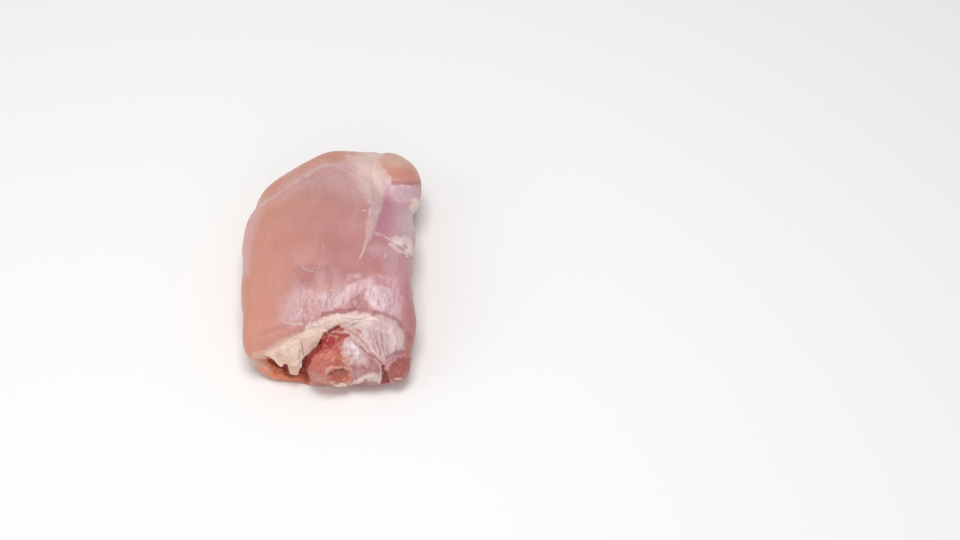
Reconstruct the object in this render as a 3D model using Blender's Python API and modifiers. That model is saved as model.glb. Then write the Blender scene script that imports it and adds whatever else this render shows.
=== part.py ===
"""A raw chicken thigh: skinned, with its bone in, lying with its outer side up.

The meat is one solid: a lower body, the big muscle lying over it, a lobe at the hip end, and at the
knee end the joint capsule, a fat collar and a ragged flap of fat. The femur is a second solid that
runs through it and shows its condyles at the knee end.

Metres, +Z up. The origin is the centre of the footprint, on the surface that the thigh rests on.
+Y runs towards the hip end, -Y towards the knee end.
"""

import math

import bmesh
import bpy
import numpy as np
from mathutils import Matrix, Vector, noise

MM = 0.001

# Driving dimensions of the whole piece.
LENGTH = 120 * MM
WIDTH = 73 * MM
HEIGHT = 36 * MM
HALF_LENGTH = LENGTH / 2
HALF_WIDTH = WIDTH / 2

# Resolution of the surfaces, from the lumps to the finished solid.
LUMP_SEGMENTS = 128
LUMP_RINGS = 64
VOXEL = 1.0 * MM
BLEND_PASSES = 4
MEAT_TRIANGLES = 9600
FEMUR_TRIANGLES = 1500

# Outlines seen from above, as (x, y) in shares of the half width and the half length.
LOWER_OUTLINE = (
    (0.95, 0.00), (0.93, 0.42), (0.93, 0.62), (0.88, 0.86), (0.60, 1.05), (0.24, 1.09),
    (-0.10, 1.08), (-0.42, 0.94), (-0.72, 0.77), (-0.87, 0.64), (-0.92, 0.36), (-0.92, 0.00),
    (-0.92, -0.34), (-0.90, -0.59), (-0.77, -0.73), (-0.48, -0.80), (-0.18, -0.825), (0.10, -0.83),
    (0.40, -0.88), (0.68, -0.89), (0.90, -0.82), (0.99, -0.64), (1.00, -0.30),
)
UPPER_OUTLINE = (
    (0.93, 0.00), (0.90, 0.40), (0.80, 0.62), (0.50, 0.82), (0.20, 0.95), (-0.08, 0.95),
    (-0.42, 0.80), (-0.76, 0.64), (-0.97, 0.44), (-1.00, 0.22), (-0.98, -0.10), (-0.92, -0.44),
    (-0.91, -0.70), (-0.74, -0.77), (-0.44, -0.73), (-0.14, -0.67), (0.16, -0.62), (0.48, -0.59),
    (0.78, -0.61), (0.94, -0.58), (0.97, -0.30),
)

# Both bodies have full sides: a share below 1 makes them blunter than an ellipsoid.
BLUNT_PLAN = 0.78
BLUNT_RISE = 0.80

# The lower body, which the upper muscle overhangs. It falls more to the left of the knee.
LOWER_TOP = 29.5 * MM
LOWER_FLOOR = -7 * MM
LOWER_RIM = 0.66
LOWER_FAR_FALL = 0.8 * MM
LOWER_KNEE_FALL_LEFT = 23 * MM
LOWER_KNEE_FALL_RIGHT = 13 * MM

# The upper muscle: its crest, and how far it falls towards each end and side.
UPPER_FLOOR = 8 * MM
UPPER_RIM = 0.42
UPPER_NEAR_FALL = 9.5 * MM
UPPER_FAR_FALL = 5.0 * MM
UPPER_LEFT_FALL = 3.5 * MM

# The sunken strip of inner muscle to the right of the tendon that edges the upper muscle.
TENDON_LINE = ((-0.20, 0.36), (0.00, 0.40), (0.30, 0.47), (0.55, 0.45), (0.75, 0.42))
TENDON_RISE = 0.7 * MM
TENDON_HALF_WIDTH = 2.0 * MM
STRIP_DROP = 3.2 * MM
STRIP_EDGE = 5.0 * MM

# Round lumps: centre and radii.
HIP_LOBE = ((23.7 * MM, 43.3 * MM, 17.5 * MM), (14.6 * MM, 18.5 * MM, 11.5 * MM))
HIP_FAT = ((14.5 * MM, 47 * MM, 22.5 * MM), (8 * MM, 11 * MM, 6 * MM))
CAPSULE = ((20 * MM, -37.5 * MM, 13 * MM), (14.5 * MM, 16 * MM, 11.5 * MM))
SIDE_KNOB = ((29.5 * MM, -46 * MM, 9.5 * MM), (6.4 * MM, 6.6 * MM, 6.8 * MM))
KNEE_FLESH = ((3.5 * MM, -39 * MM, 12 * MM), (14 * MM, 11.5 * MM, 12 * MM))

# The collar of connective tissue that arches over the knee end, and its thickness.
COLLAR_PATH = (
    (-19 * MM, -40 * MM, 20 * MM), (-10 * MM, -38.5 * MM, 23.5 * MM), (2.5 * MM, -36 * MM, 25.5 * MM),
    (16 * MM, -33.5 * MM, 26.5 * MM), (27 * MM, -35 * MM, 23.5 * MM), (33.0 * MM, -40.0 * MM, 18 * MM),
    (34 * MM, -44 * MM, 11 * MM),
)
COLLAR_RADIUS = 2.4 * MM

# Strands of tendon that run from the collar down over the joint capsule.
STRANDS = (
    ((9 * MM, -37.5 * MM, 23.8 * MM), (14 * MM, -43.8 * MM, 23.4 * MM), (18.5 * MM, -48.3 * MM, 22 * MM),
     (22.5 * MM, -51.5 * MM, 19.5 * MM), (25 * MM, -53 * MM, 14.5 * MM), (24.5 * MM, -51.5 * MM, 7 * MM)),
    ((15 * MM, -36 * MM, 25 * MM), (22 * MM, -42.5 * MM, 24 * MM), (28 * MM, -46.5 * MM, 19 * MM),
     (29 * MM, -48 * MM, 12 * MM)),
)
STRAND_RADIUS = 1.5 * MM

# The flap of fat: the line that it hangs from, how far it reaches along that line, and its tears.
FLAP_START = Vector((-29.0, -42.0, 17.5)) * MM
FLAP_MIDDLE = Vector((-14, -39.5, 26.0)) * MM
FLAP_END = Vector((2.5, -37.5, 24.5)) * MM
FLAP_FALL = Vector((0.08, -0.70, -0.71))
FLAP_ROOT = 3.0 * MM
FLAP_REACHES = (0.5, 3.0, 5.5, 10.0, 12.5, 15.0, 9.5, 8.0, 4.0, 1.0)
FLAP_TEAR = 1.1 * MM
FLAP_TEARS = 9
FLAP_THICKNESS = 2.4 * MM
FLAP_STEPS = (64, 14)

# Unevenness of the finished surface.
UNEVEN_SIZE = 15 * MM
UNEVEN_DEPTH = 1.1 * MM

# The seam along the underside, where the meat folds round to meet itself.
SEAM_PATH = (
    (-3 * MM, -36 * MM, -6.5 * MM), (-2 * MM, -27 * MM, -1.8 * MM), (-9 * MM, -10 * MM, -1.2 * MM),
    (-10 * MM, 8 * MM, -1.2 * MM), (-3 * MM, 24 * MM, -1.8 * MM), (1 * MM, 36 * MM, -6.5 * MM),
)
SEAM_RADIUS = 4.2 * MM

# The femur: a large bare condyle, its foot and a small one capped with cartilage at the knee end, the
# shaft, and the head at the hip end. The condyles are each a centre and radii.
BARE_CONDYLE = ((1.8 * MM, -46.0 * MM, 12.4 * MM), (9.6 * MM, 9.5 * MM, 9.5 * MM))
CONDYLE_FOOT = ((7.0 * MM, -45.8 * MM, 9.0 * MM), (8.0 * MM, 8.4 * MM, 7.2 * MM))
CAPPED_CONDYLE = ((13.2 * MM, -43.2 * MM, 16.2 * MM), (6.2 * MM, 6.8 * MM, 6.6 * MM))
SHAFT_START = Vector((4, -44, 13)) * MM
SHAFT_RADIUS = 4.4 * MM
SHAFT_END = Vector((1.0, 21.0, 15.0)) * MM
HEAD_RADIUS = 5.6 * MM
HEAD_CENTRE = Vector((-6.5, 27.0, 15.5)) * MM
FEMUR_VOXEL = 0.8 * MM
FEMUR_GAP = 0.35 * MM


def smoothstep(low, high, value):
    """0 below low, 1 above high, and a smooth rise between them."""
    share = np.clip((value - low) / (high - low), 0.0, 1.0)
    return share * share * (3 - 2 * share)


def catmull_rom(before, start, end, after, share):
    """A smooth value between start and end, which their neighbours give its slope."""
    slope_start = (end - before) / 2
    slope_end = (after - start) / 2
    cube = share ** 3
    square = share ** 2
    return (
        (2 * cube - 3 * square + 1) * start
        + (cube - 2 * square + share) * slope_start
        + (3 * square - 2 * cube) * end
        + (cube - square) * slope_end
    )


def outline_radius(outline):
    """A function that gives the outline's distance from the centre in any direction."""
    points = [Vector((x * HALF_WIDTH, y * HALF_LENGTH)) for x, y in outline]
    marks = sorted((math.atan2(p.y, p.x) % math.tau, p.length) for p in points)
    count = len(marks)

    def radius(angle):
        angle %= math.tau
        after = next((i for i, mark in enumerate(marks) if mark[0] > angle), count)
        span = [marks[(after + step) % count] for step in (-2, -1, 0, 1)]
        width = (span[2][0] - span[1][0]) % math.tau
        share = ((angle - span[1][0]) % math.tau) / width
        return catmull_rom(*[mark[1] for mark in span], share)

    return radius


def tendon_x(y):
    """The tendon's x where it crosses y."""
    ys = [mark[0] * HALF_LENGTH for mark in TENDON_LINE]
    xs = [mark[1] * HALF_WIDTH for mark in TENDON_LINE]
    return float(np.interp(y, ys, xs))


def lower_top(x, y):
    """The height of the lower body's top: it falls away towards both ends."""
    far = smoothstep(0.30, 1.0, y / HALF_LENGTH) * LOWER_FAR_FALL
    right = smoothstep(-0.1, 0.3, x / HALF_WIDTH)
    knee_fall = LOWER_KNEE_FALL_LEFT + (LOWER_KNEE_FALL_RIGHT - LOWER_KNEE_FALL_LEFT) * right
    near = smoothstep(0.35, 0.95, -y / HALF_LENGTH) * knee_fall
    return LOWER_TOP - far - near


def upper_top(x, y):
    """The height of the upper muscle's top, with the sunken strip beside the tendon."""
    near = smoothstep(0.10, 0.80, -y / HALF_LENGTH) * UPPER_NEAR_FALL
    far = smoothstep(0.10, 0.95, y / HALF_LENGTH) * UPPER_FAR_FALL
    left = smoothstep(0.0, 1.0, -x / HALF_WIDTH) * UPPER_LEFT_FALL
    beside = x - tendon_x(y)
    along = smoothstep(-0.22, 0.02, y / HALF_LENGTH)
    drop = smoothstep(0.0, STRIP_EDGE, beside) * along * STRIP_DROP
    ridge = math.exp(-((beside / TENDON_HALF_WIDTH) ** 2)) * along * TENDON_RISE
    return HEIGHT - near - far - left - drop + ridge


def new_object(name, mesh, collection):
    made = bpy.data.objects.new(name, mesh)
    collection.objects.link(made)
    return made


def sphere_object(name, collection, place):
    """A unit sphere whose points are each moved to place(point)."""
    mesh = bpy.data.meshes.new(name)
    shape = bmesh.new()
    bmesh.ops.create_uvsphere(shape, u_segments=LUMP_SEGMENTS, v_segments=LUMP_RINGS, radius=1.0)
    for vert in shape.verts:
        vert.co = place(vert.co.copy())
    shape.to_mesh(mesh)
    shape.free()
    return new_object(name, mesh, collection)


def pillow(name, collection, outline, top, floor, rim_share):
    """A lump with this outline seen from above, widest at a share of its height above its floor."""
    radius = outline_radius(outline)

    def place(point):
        angle = math.atan2(point.y, point.x)
        share = math.hypot(point.x, point.y)
        ellipse = 1 / math.hypot(math.cos(angle) / HALF_WIDTH, math.sin(angle) / HALF_LENGTH)
        # Only the rim takes the outline's corners, so that none of them runs up over the top.
        cube = share ** 3
        reach = (ellipse * (1 - cube) + radius(angle) * cube) * share ** BLUNT_PLAN
        x = reach * math.cos(angle)
        y = reach * math.sin(angle)
        crown = top(x, y)
        rim = floor + (crown - floor) * rim_share
        rise = abs(point.z) ** BLUNT_RISE
        return Vector((x, y, rim + (crown - rim) * rise if point.z >= 0 else rim - (rim - floor) * rise))

    return sphere_object(name, collection, place)


def round_lump(name, collection, centre, radii):
    """An ellipsoid."""
    scale = Vector(radii)
    middle = Vector(centre)
    return sphere_object(name, collection, lambda point: middle + point * scale)


def tube(name, collection, path, radius):
    """A round bar with closed ends along a smooth path, as a mesh."""
    data = bpy.data.curves.new(name, "CURVE")
    data.dimensions = "3D"
    data.bevel_depth = radius
    data.bevel_resolution = 3
    data.use_fill_caps = True
    spline = data.splines.new("NURBS")
    spline.points.add(len(path) - 1)
    for point, spot in zip(spline.points, path):
        point.co = (*spot, 1.0)
    spline.order_u = 4
    spline.use_endpoint_u = True
    curve = new_object(name + "_curve", data, collection)
    bpy.context.view_layer.update()
    graph = bpy.context.evaluated_depsgraph_get()
    mesh = bpy.data.meshes.new_from_object(curve.evaluated_get(graph))
    mesh.name = name
    shape = bmesh.new()
    shape.from_mesh(mesh)
    bmesh.ops.remove_doubles(shape, verts=shape.verts, dist=0.01 * MM)
    shape.to_mesh(mesh)
    shape.free()
    bpy.data.objects.remove(curve)
    return new_object(name, mesh, collection)


def flap_reach(u):
    """How far the flap hangs at this share of its width, with small tears in its edge."""
    marks = np.linspace(0, 1, len(FLAP_REACHES))
    tear = math.sin(u * FLAP_TEARS * math.tau) + 0.7 * math.sin(u * FLAP_TEARS * 1.7 * math.tau + 1.0)
    return float(np.interp(u, marks, FLAP_REACHES)) * MM + FLAP_TEAR * tear


def fat_flap(collection):
    """A thin flap that hangs from the upper muscle's near edge, with a torn lower margin."""
    across, down = FLAP_STEPS
    shape = bmesh.new()
    rows = []
    for i in range(across + 1):
        u = i / across
        root = FLAP_START * (1 - u) ** 2 + FLAP_MIDDLE * 2 * u * (1 - u) + FLAP_END * u ** 2
        row = []
        for j in range(down + 1):
            v = j / down
            # The flap leaves the muscle flat and bends down as it hangs.
            fall = Vector((FLAP_FALL.x, FLAP_FALL.y, FLAP_FALL.z * (0.7 + 0.45 * v)))
            reach = (FLAP_ROOT + flap_reach(u)) * v
            row.append(shape.verts.new(root - FLAP_FALL * FLAP_ROOT + fall * reach))
        rows.append(row)
    for left, right in zip(rows, rows[1:]):
        for j in range(down):
            shape.faces.new((left[j], left[j + 1], right[j + 1], right[j]))
    bmesh.ops.recalc_face_normals(shape, faces=shape.faces)
    mesh = bpy.data.meshes.new("flap")
    shape.to_mesh(mesh)
    shape.free()
    made = new_object("flap", mesh, collection)
    solid = made.modifiers.new("Solidify", "SOLIDIFY")
    solid.thickness = FLAP_THICKNESS
    solid.offset = 0.0
    return made


def merged(name, pieces, voxel, collection):
    """One closed skin round all the pieces, which are then removed."""
    graph = bpy.context.evaluated_depsgraph_get()
    graph.update()
    shape = bmesh.new()
    for piece in pieces:
        shape.from_mesh(piece.evaluated_get(graph).to_mesh())
        piece.evaluated_get(graph).to_mesh_clear()
    mesh = bpy.data.meshes.new(name)
    shape.to_mesh(mesh)
    shape.free()
    for piece in pieces:
        bpy.data.objects.remove(piece)
    made = new_object(name, mesh, collection)
    remesh = made.modifiers.new("Remesh", "REMESH")
    remesh.mode = "VOXEL"
    remesh.voxel_size = voxel
    smooth = made.modifiers.new("Smooth", "SMOOTH")
    smooth.factor = 0.5
    smooth.iterations = BLEND_PASSES
    return keep_largest(baked(made))


def keep_largest(made):
    """Drops the loose scraps and sealed bubbles that blending and cutting can leave."""
    shape = bmesh.new()
    shape.from_mesh(made.data)
    waiting = set(shape.verts)
    bodies = []
    while waiting:
        body = {waiting.pop()}
        front = set(body)
        while front:
            front = {edge.other_vert(vert) for vert in front for edge in vert.link_edges} - body
            body |= front
        waiting -= body
        bodies.append(body)
    bodies.sort(key=len)
    bmesh.ops.delete(shape, geom=[vert for body in bodies[:-1] for vert in body], context="VERTS")
    shape.to_mesh(made.data)
    shape.free()
    return made


def baked(made):
    """The object with its modifiers applied."""
    bpy.context.view_layer.update()
    graph = bpy.context.evaluated_depsgraph_get()
    mesh = bpy.data.meshes.new_from_object(made.evaluated_get(graph))
    made.modifiers.clear()
    made.data = mesh
    return made


def thinned(made, triangles):
    """The object brought down to about this many triangles."""
    made.data.calc_loop_triangles()
    decimate = made.modifiers.new("Decimate", "DECIMATE")
    decimate.ratio = min(1.0, triangles / len(made.data.loop_triangles))
    return baked(made)


def weather(mesh):
    """Adds the unevenness of raw muscle."""
    normals = [vert.normal.copy() for vert in mesh.vertices]
    for vert, normal in zip(mesh.vertices, normals):
        spot = vert.co / UNEVEN_SIZE
        swell = noise.noise(Vector((spot.x * 1.5, spot.y * 0.8, spot.z))) * UNEVEN_DEPTH
        vert.co += normal * swell


def cut_base(made):
    """Cuts the underside flat at z = 0, so that the piece rests as it lay, and closes it."""
    shape = bmesh.new()
    shape.from_mesh(made.data)
    whole = shape.verts[:] + shape.edges[:] + shape.faces[:]
    ground = {"plane_co": (0, 0, 0), "plane_no": (0, 0, 1)}
    cut = bmesh.ops.bisect_plane(shape, geom=whole, clear_inner=True, **ground)
    edges = [item for item in cut["geom_cut"] if isinstance(item, bmesh.types.BMEdge)]
    bmesh.ops.holes_fill(shape, edges=edges, sides=0)
    bmesh.ops.recalc_face_normals(shape, faces=shape.faces)
    bmesh.ops.triangulate(shape, faces=[face for face in shape.faces if len(face.verts) > 3])
    shape.to_mesh(made.data)
    shape.free()


def material(name, colour, roughness, subsurface):
    made = bpy.data.materials.new(name)
    made.use_nodes = True
    shader = made.node_tree.nodes["Principled BSDF"]
    shader.inputs["Base Color"].default_value = (*colour, 1.0)
    shader.inputs["Roughness"].default_value = roughness
    shader.inputs["Metallic"].default_value = 0.0
    shader.inputs["Subsurface Weight"].default_value = subsurface
    return made


def make_femur(collection):
    """The bone: two unlike condyles, a shaft, and the round head set off to one side."""
    knee_lumps = (BARE_CONDYLE, CONDYLE_FOOT, CAPPED_CONDYLE)
    condyles = [round_lump("condyle", collection, *lump) for lump in knee_lumps]
    shaft_path = (
        SHAFT_START, SHAFT_START + Vector((0, 16, 1)) * MM, SHAFT_END - Vector((0, 18, 0)) * MM, SHAFT_END
    )
    shaft = tube("shaft", collection, shaft_path, SHAFT_RADIUS)
    neck_path = (SHAFT_END - Vector((0, 4, 0)) * MM, SHAFT_END, HEAD_CENTRE)
    neck = tube("neck", collection, neck_path, SHAFT_RADIUS)
    head = round_lump("head", collection, HEAD_CENTRE, (HEAD_RADIUS,) * 3)
    trochanter = round_lump("trochanter", collection, SHAFT_END, (6 * MM, 8 * MM, 6 * MM))
    bone = merged("femur", [*condyles, shaft, neck, head, trochanter], FEMUR_VOXEL, collection)
    return thinned(bone, FEMUR_TRIANGLES)


def make_meat(collection):
    """The muscles, fat and joint capsule as one solid."""
    lumps = [
        pillow("lower", collection, LOWER_OUTLINE, lower_top, LOWER_FLOOR, LOWER_RIM),
        pillow("upper", collection, UPPER_OUTLINE, upper_top, UPPER_FLOOR, UPPER_RIM),
        tube("collar", collection, COLLAR_PATH, COLLAR_RADIUS),
        fat_flap(collection),
    ]
    lumps += [tube(f"strand_{i}", collection, path, STRAND_RADIUS) for i, path in enumerate(STRANDS)]
    for centre, radii in (HIP_LOBE, HIP_FAT, CAPSULE, SIDE_KNOB, KNEE_FLESH):
        lumps.append(round_lump("lump", collection, centre, radii))
    meat = merged("meat", lumps, VOXEL, collection)
    weather(meat.data)
    return thinned(meat, MEAT_TRIANGLES)


def cut_away(meat, cutter):
    """Takes the cutter's shape out of the meat, and removes the cutter."""
    cut = meat.modifiers.new("Cut", "BOOLEAN")
    cut.operation = "DIFFERENCE"
    cut.solver = "MANIFOLD"
    cut.object = cutter
    keep_largest(baked(meat))
    bpy.data.objects.remove(cutter)


def femur_bed(femur, collection):
    """The femur's shape, a little larger all round."""
    bed = new_object("femur_bed", femur.data.copy(), collection)
    swell = bed.modifiers.new("Displace", "DISPLACE")
    swell.strength = FEMUR_GAP
    swell.mid_level = 0.0
    return bed


def centre(solids):
    """Moves the solids together so that the middle of their footprint is the origin."""
    corners = [vert.co for solid in solids for vert in solid.data.vertices]
    spans = [(min(c[axis] for c in corners), max(c[axis] for c in corners)) for axis in range(3)]
    shift = Vector((-sum(spans[0]) / 2, -sum(spans[1]) / 2, -spans[2][0]))
    for solid in solids:
        solid.data.transform(Matrix.Translation(shift))


def finish(solid, surface):
    """Gives the solid its one material, and shades it smooth."""
    solid.data.materials.clear()
    solid.data.materials.append(surface)
    solid.data.shade_smooth()


def main():
    for old in list(bpy.data.objects):
        bpy.data.objects.remove(old)
    parts = bpy.data.collections.new("chicken_thigh")
    bpy.context.scene.collection.children.link(parts)

    femur = make_femur(parts)
    meat = make_meat(parts)
    cut_base(meat)
    cut_away(meat, tube("seam", parts, SEAM_PATH, SEAM_RADIUS))
    cut_away(meat, femur_bed(femur, parts))
    centre((meat, femur))
    finish(meat, material("meat", (0.58, 0.27, 0.22), 0.32, 0.2))
    finish(femur, material("bone", (0.62, 0.36, 0.31), 0.35, 0.1))


main()
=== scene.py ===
"""The looks of a raw chicken thigh: skinned, bone in, lying with its outer side up.

Two detailed skins stand for the two solids, and keep their form. They are the solids' own surfaces,
made finer where detail shows, with the relief that raw meat has: wrinkled membrane, cords of
connective tissue, torn fat. Each skin carries one number a point for every tissue, such as fat or
film, and the materials mix the tissues' colours by those numbers and by procedural noise. A torn
sheet of fat, thin strands and beads of fat are pieces of their own that lie on the skins.

What the photograph shows in one place is placed by its pixel there: a ray from the photograph's
camera carries the pixel to the surface. All else is in metres, in the frame of the solids.
"""

import itertools
import math
from dataclasses import dataclass, field

import bmesh
import bpy
import numpy as np
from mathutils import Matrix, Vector
from mathutils.bvhtree import BVHTree

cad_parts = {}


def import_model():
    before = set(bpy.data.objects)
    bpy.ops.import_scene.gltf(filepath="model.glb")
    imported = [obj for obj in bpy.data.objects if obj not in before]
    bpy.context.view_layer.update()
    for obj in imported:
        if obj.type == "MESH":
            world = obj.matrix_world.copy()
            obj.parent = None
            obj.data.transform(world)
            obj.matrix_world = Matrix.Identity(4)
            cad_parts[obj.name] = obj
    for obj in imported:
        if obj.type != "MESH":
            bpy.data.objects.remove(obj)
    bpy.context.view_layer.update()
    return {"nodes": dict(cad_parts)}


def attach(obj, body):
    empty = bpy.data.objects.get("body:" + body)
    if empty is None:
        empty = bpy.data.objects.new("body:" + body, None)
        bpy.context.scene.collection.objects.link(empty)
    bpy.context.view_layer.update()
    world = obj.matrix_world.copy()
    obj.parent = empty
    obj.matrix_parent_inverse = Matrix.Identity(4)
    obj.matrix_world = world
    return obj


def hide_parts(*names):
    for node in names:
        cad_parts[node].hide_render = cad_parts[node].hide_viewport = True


MM = 0.001

# The photograph's camera, found from its perspective.
PHOTO_WIDTH = 960
PHOTO_HEIGHT = 540
CAMERA_ELEVATION = math.radians(50.7)
CAMERA_DISTANCE = 802 * MM
CAMERA_TARGET = Vector((62.96, -9.28, 20.5)) * MM
CAMERA_LENS = 72
CAMERA_SENSOR = 36
FOCAL = CAMERA_LENS / CAMERA_SENSOR * PHOTO_WIDTH
PIXEL = CAMERA_DISTANCE / FOCAL

# Resolution of the skins. The meat's faces are halved where the camera sees them, and those of both
# are halved where it sees most detail.
MEAT_VOXEL = 1.2 * MM
BONE_VOXEL = 0.5 * MM
MEAT_SMOOTHING = 3
BONE_SMOOTHING = 4
SMOOTH_FACTOR = 0.5
FINER_PASSES = 2

# In the meat's skin the bone is swollen by so much to close its bed, and sunk by so much where it is
# bare, so that it stands proud there. It turns bare between two places along y, towards the knee.
BONE_OVERLAP = 0.5 * MM
BONE_PROUD = 1.3 * MM
BONE_BARE_Y = (-46 * MM, -50 * MM)


def smoothstep(low, high, value):
    """0 below low, 1 above high, and a smooth rise between them."""
    share = np.clip((value - low) / (high - low), 0.0, 1.0)
    return share * share * (3 - 2 * share)


# ---------------------------------------------------------------- camera and pixels


def camera_back():
    """The direction from what the camera looks at to the camera."""
    return Vector((0, -math.cos(CAMERA_ELEVATION), math.sin(CAMERA_ELEVATION)))


def camera_place():
    return CAMERA_TARGET + camera_back() * CAMERA_DISTANCE


def camera_axes():
    """The camera's right, up and forward directions."""
    forward = -camera_back()
    right = Vector((1, 0, 0))
    return right, right.cross(forward), forward


def pixels_of(points):
    """Where points, an array of positions, show in the photograph."""
    right, up, forward = (np.array(axis) for axis in camera_axes())
    offset = points - np.array(camera_place())
    depth = offset @ forward
    across = PHOTO_WIDTH / 2 + FOCAL * (offset @ right) / depth
    down = PHOTO_HEIGHT / 2 - FOCAL * (offset @ up) / depth
    return np.stack([across, down], axis=1)


def ray_of(pixel):
    """The direction from the camera through a pixel of the photograph."""
    right, up, forward = camera_axes()
    across = (pixel[0] - PHOTO_WIDTH / 2) / FOCAL
    down = (pixel[1] - PHOTO_HEIGHT / 2) / FOCAL
    return (forward + right * across - up * down).normalized()


def make_camera():
    data = bpy.data.cameras.new("camera")
    data.lens = CAMERA_LENS
    data.sensor_width = CAMERA_SENSOR
    data.clip_start = 10 * MM
    camera = bpy.data.objects.new("camera", data)
    bpy.context.scene.collection.objects.link(camera)
    camera.location = camera_place()
    camera.rotation_mode = "QUATERNION"
    camera.rotation_quaternion = (-camera_back()).to_track_quat("-Z", "Y")
    bpy.context.scene.camera = camera


# ---------------------------------------------------------------- noise

SLOPE_COUNT = 256
SLOPES = np.random.default_rng(5).normal(size=(SLOPE_COUNT, 3))
SLOPES /= np.linalg.norm(SLOPES, axis=1, keepdims=True)
HASH_PRIMES = (73856093, 19349663, 83492791)
SEED_STEP = 17.3
GRAIN_GAIN = 1.7
EVEN = (1, 1, 1)


def grain(points, size, seed, stretch=EVEN):
    """Gradient noise from about -1 to 1, whose bumps have this size, drawn out by stretch."""
    spots = points / (size * np.array(stretch)) + seed * SEED_STEP
    cells = np.floor(spots).astype(np.int64)
    within = spots - cells
    fade = within ** 3 * (within * (within * 6 - 15) + 10)
    total = np.zeros(len(points))
    for corner in itertools.product((0, 1), repeat=3):
        keys = [(cells[:, axis] + corner[axis]) * HASH_PRIMES[axis] for axis in range(3)]
        mixed = keys[0] ^ keys[1] ^ keys[2]
        slopes = SLOPES[(mixed ^ (mixed >> 13)) % SLOPE_COUNT]
        weights = np.prod(np.where(corner, fade, 1 - fade), axis=1)
        total += weights * np.sum(slopes * (within - corner), axis=1)
    return total * GRAIN_GAIN


# ---------------------------------------------------------------- surfaces

# How a mark's edge wanders: the size of its waves, their share and the step of their seed, and the
# seed for each axis.
EDGE_WAVES = ((3 * MM, 1.0, 0), (1 * MM, 0.6, 1))
EDGE_SEEDS = (31, 33)

# How far a normal may turn from the camera, or to it, while its point counts as partly seen.
FACING_EDGE = 0.1


@dataclass
class Skin:
    """A mesh object with its points, normals and pixels as arrays."""

    thing: bpy.types.Object
    points: np.ndarray
    normals: np.ndarray
    pixels: np.ndarray
    facing: np.ndarray
    tree: BVHTree
    wobbles: list = field(default_factory=list)

    def hit(self, pixel):
        """The point and the normal of the surface that shows at a pixel."""
        place, normal, _, _ = self.tree.ray_cast(camera_place(), ray_of(pixel))
        return place, normal

    def grain(self, size, seed, stretch=EVEN):
        return grain(self.points, size, seed, stretch)

    def wobbled(self, amount):
        """The skin's pixels, moved unevenly, so that what is marked by them gets an uneven edge."""
        if not self.wobbles:
            for seed in EDGE_SEEDS:
                waves = [share * self.grain(size, seed + step) for size, share, step in EDGE_WAVES]
                self.wobbles.append(sum(waves))
        return self.pixels + amount * np.stack(self.wobbles, axis=1)


def vectors_of(collection, key):
    """The vectors that a mesh keeps under a key, as an array."""
    values = np.empty(len(collection) * 3)
    collection.foreach_get(key, values)
    return values.reshape(-1, 3)


def opened(*meshes):
    """A bmesh of one or more meshes."""
    shape = bmesh.new()
    for mesh in meshes:
        shape.from_mesh(mesh)
    return shape


def closed(shape, mesh):
    """The mesh, with the bmesh written into it."""
    shape.to_mesh(mesh)
    shape.free()
    return mesh


def read_skin(thing):
    """The Skin of a mesh object as it is now."""
    mesh = thing.data
    points = vectors_of(mesh.vertices, "co")
    normals = vectors_of(mesh.vertex_normals, "vector")
    to_camera = np.array(camera_place()) - points
    to_camera /= np.linalg.norm(to_camera, axis=1, keepdims=True)
    facing = smoothstep(-FACING_EDGE, FACING_EDGE, np.sum(normals * to_camera, axis=1))
    shape = opened(mesh)
    tree = BVHTree.FromBMesh(shape)
    shape.free()
    return Skin(thing, points, normals, pixels_of(points), facing, tree)


def with_points(thing, points):
    """The Skin of an object whose points are moved to these places."""
    thing.data.vertices.foreach_set("co", points.ravel())
    thing.data.update()
    return read_skin(thing)


def raise_by(skin, heights):
    """The skin with its points moved along their normals."""
    return with_points(skin.thing, skin.points + skin.normals * heights[:, None])


def new_object(name, mesh):
    thing = bpy.data.objects.new(name, mesh)
    bpy.context.scene.collection.objects.link(thing)
    return thing


def applied(thing):
    """The object with its modifiers applied."""
    bpy.context.view_layer.update()
    graph = bpy.context.evaluated_depsgraph_get()
    mesh = bpy.data.meshes.new_from_object(thing.evaluated_get(graph))
    thing.modifiers.clear()
    thing.data = mesh
    return thing


def remeshed(thing, voxel, smoothing):
    """The object as one fine closed skin."""
    remesh = thing.modifiers.new("Remesh", "REMESH")
    remesh.mode = "VOXEL"
    remesh.voxel_size = voxel
    smooth = thing.modifiers.new("Smooth", "SMOOTH")
    smooth.factor = SMOOTH_FACTOR
    smooth.iterations = smoothing
    return applied(thing)


def keep_largest(thing):
    """Drops loose scraps and sealed bubbles."""
    shape = opened(thing.data)
    waiting = set(shape.verts)
    bodies = []
    while waiting:
        body = {waiting.pop()}
        front = set(body)
        while front:
            front = {edge.other_vert(vert) for vert in front for edge in vert.link_edges} - body
            body |= front
        waiting -= body
        bodies.append(body)
    bodies.sort(key=len)
    bmesh.ops.delete(shape, geom=[vert for body in bodies[:-1] for vert in body], context="VERTS")
    closed(shape, thing.data)


def make_finer(thing, chosen):
    """Halves the faces whose points are all chosen, and smooths them over."""
    shape = opened(thing.data)
    faces = [face for face in shape.faces if all(chosen[vert.index] for vert in face.verts)]
    edges = list({edge for face in faces for edge in face.edges})
    bmesh.ops.subdivide_edges(shape, edges=edges, cuts=1, use_grid_fill=True)
    ends = {vert for face in shape.faces if len(face.verts) > 4 for vert in face.verts}
    inner = [vert for vert in {vert for edge in edges for vert in edge.verts} if vert not in ends]
    axes = {"use_axis_x": True, "use_axis_y": True, "use_axis_z": True}
    for _ in range(FINER_PASSES):
        bmesh.ops.smooth_vert(shape, verts=inner, factor=SMOOTH_FACTOR, **axes)
    closed(shape, thing.data)


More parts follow.
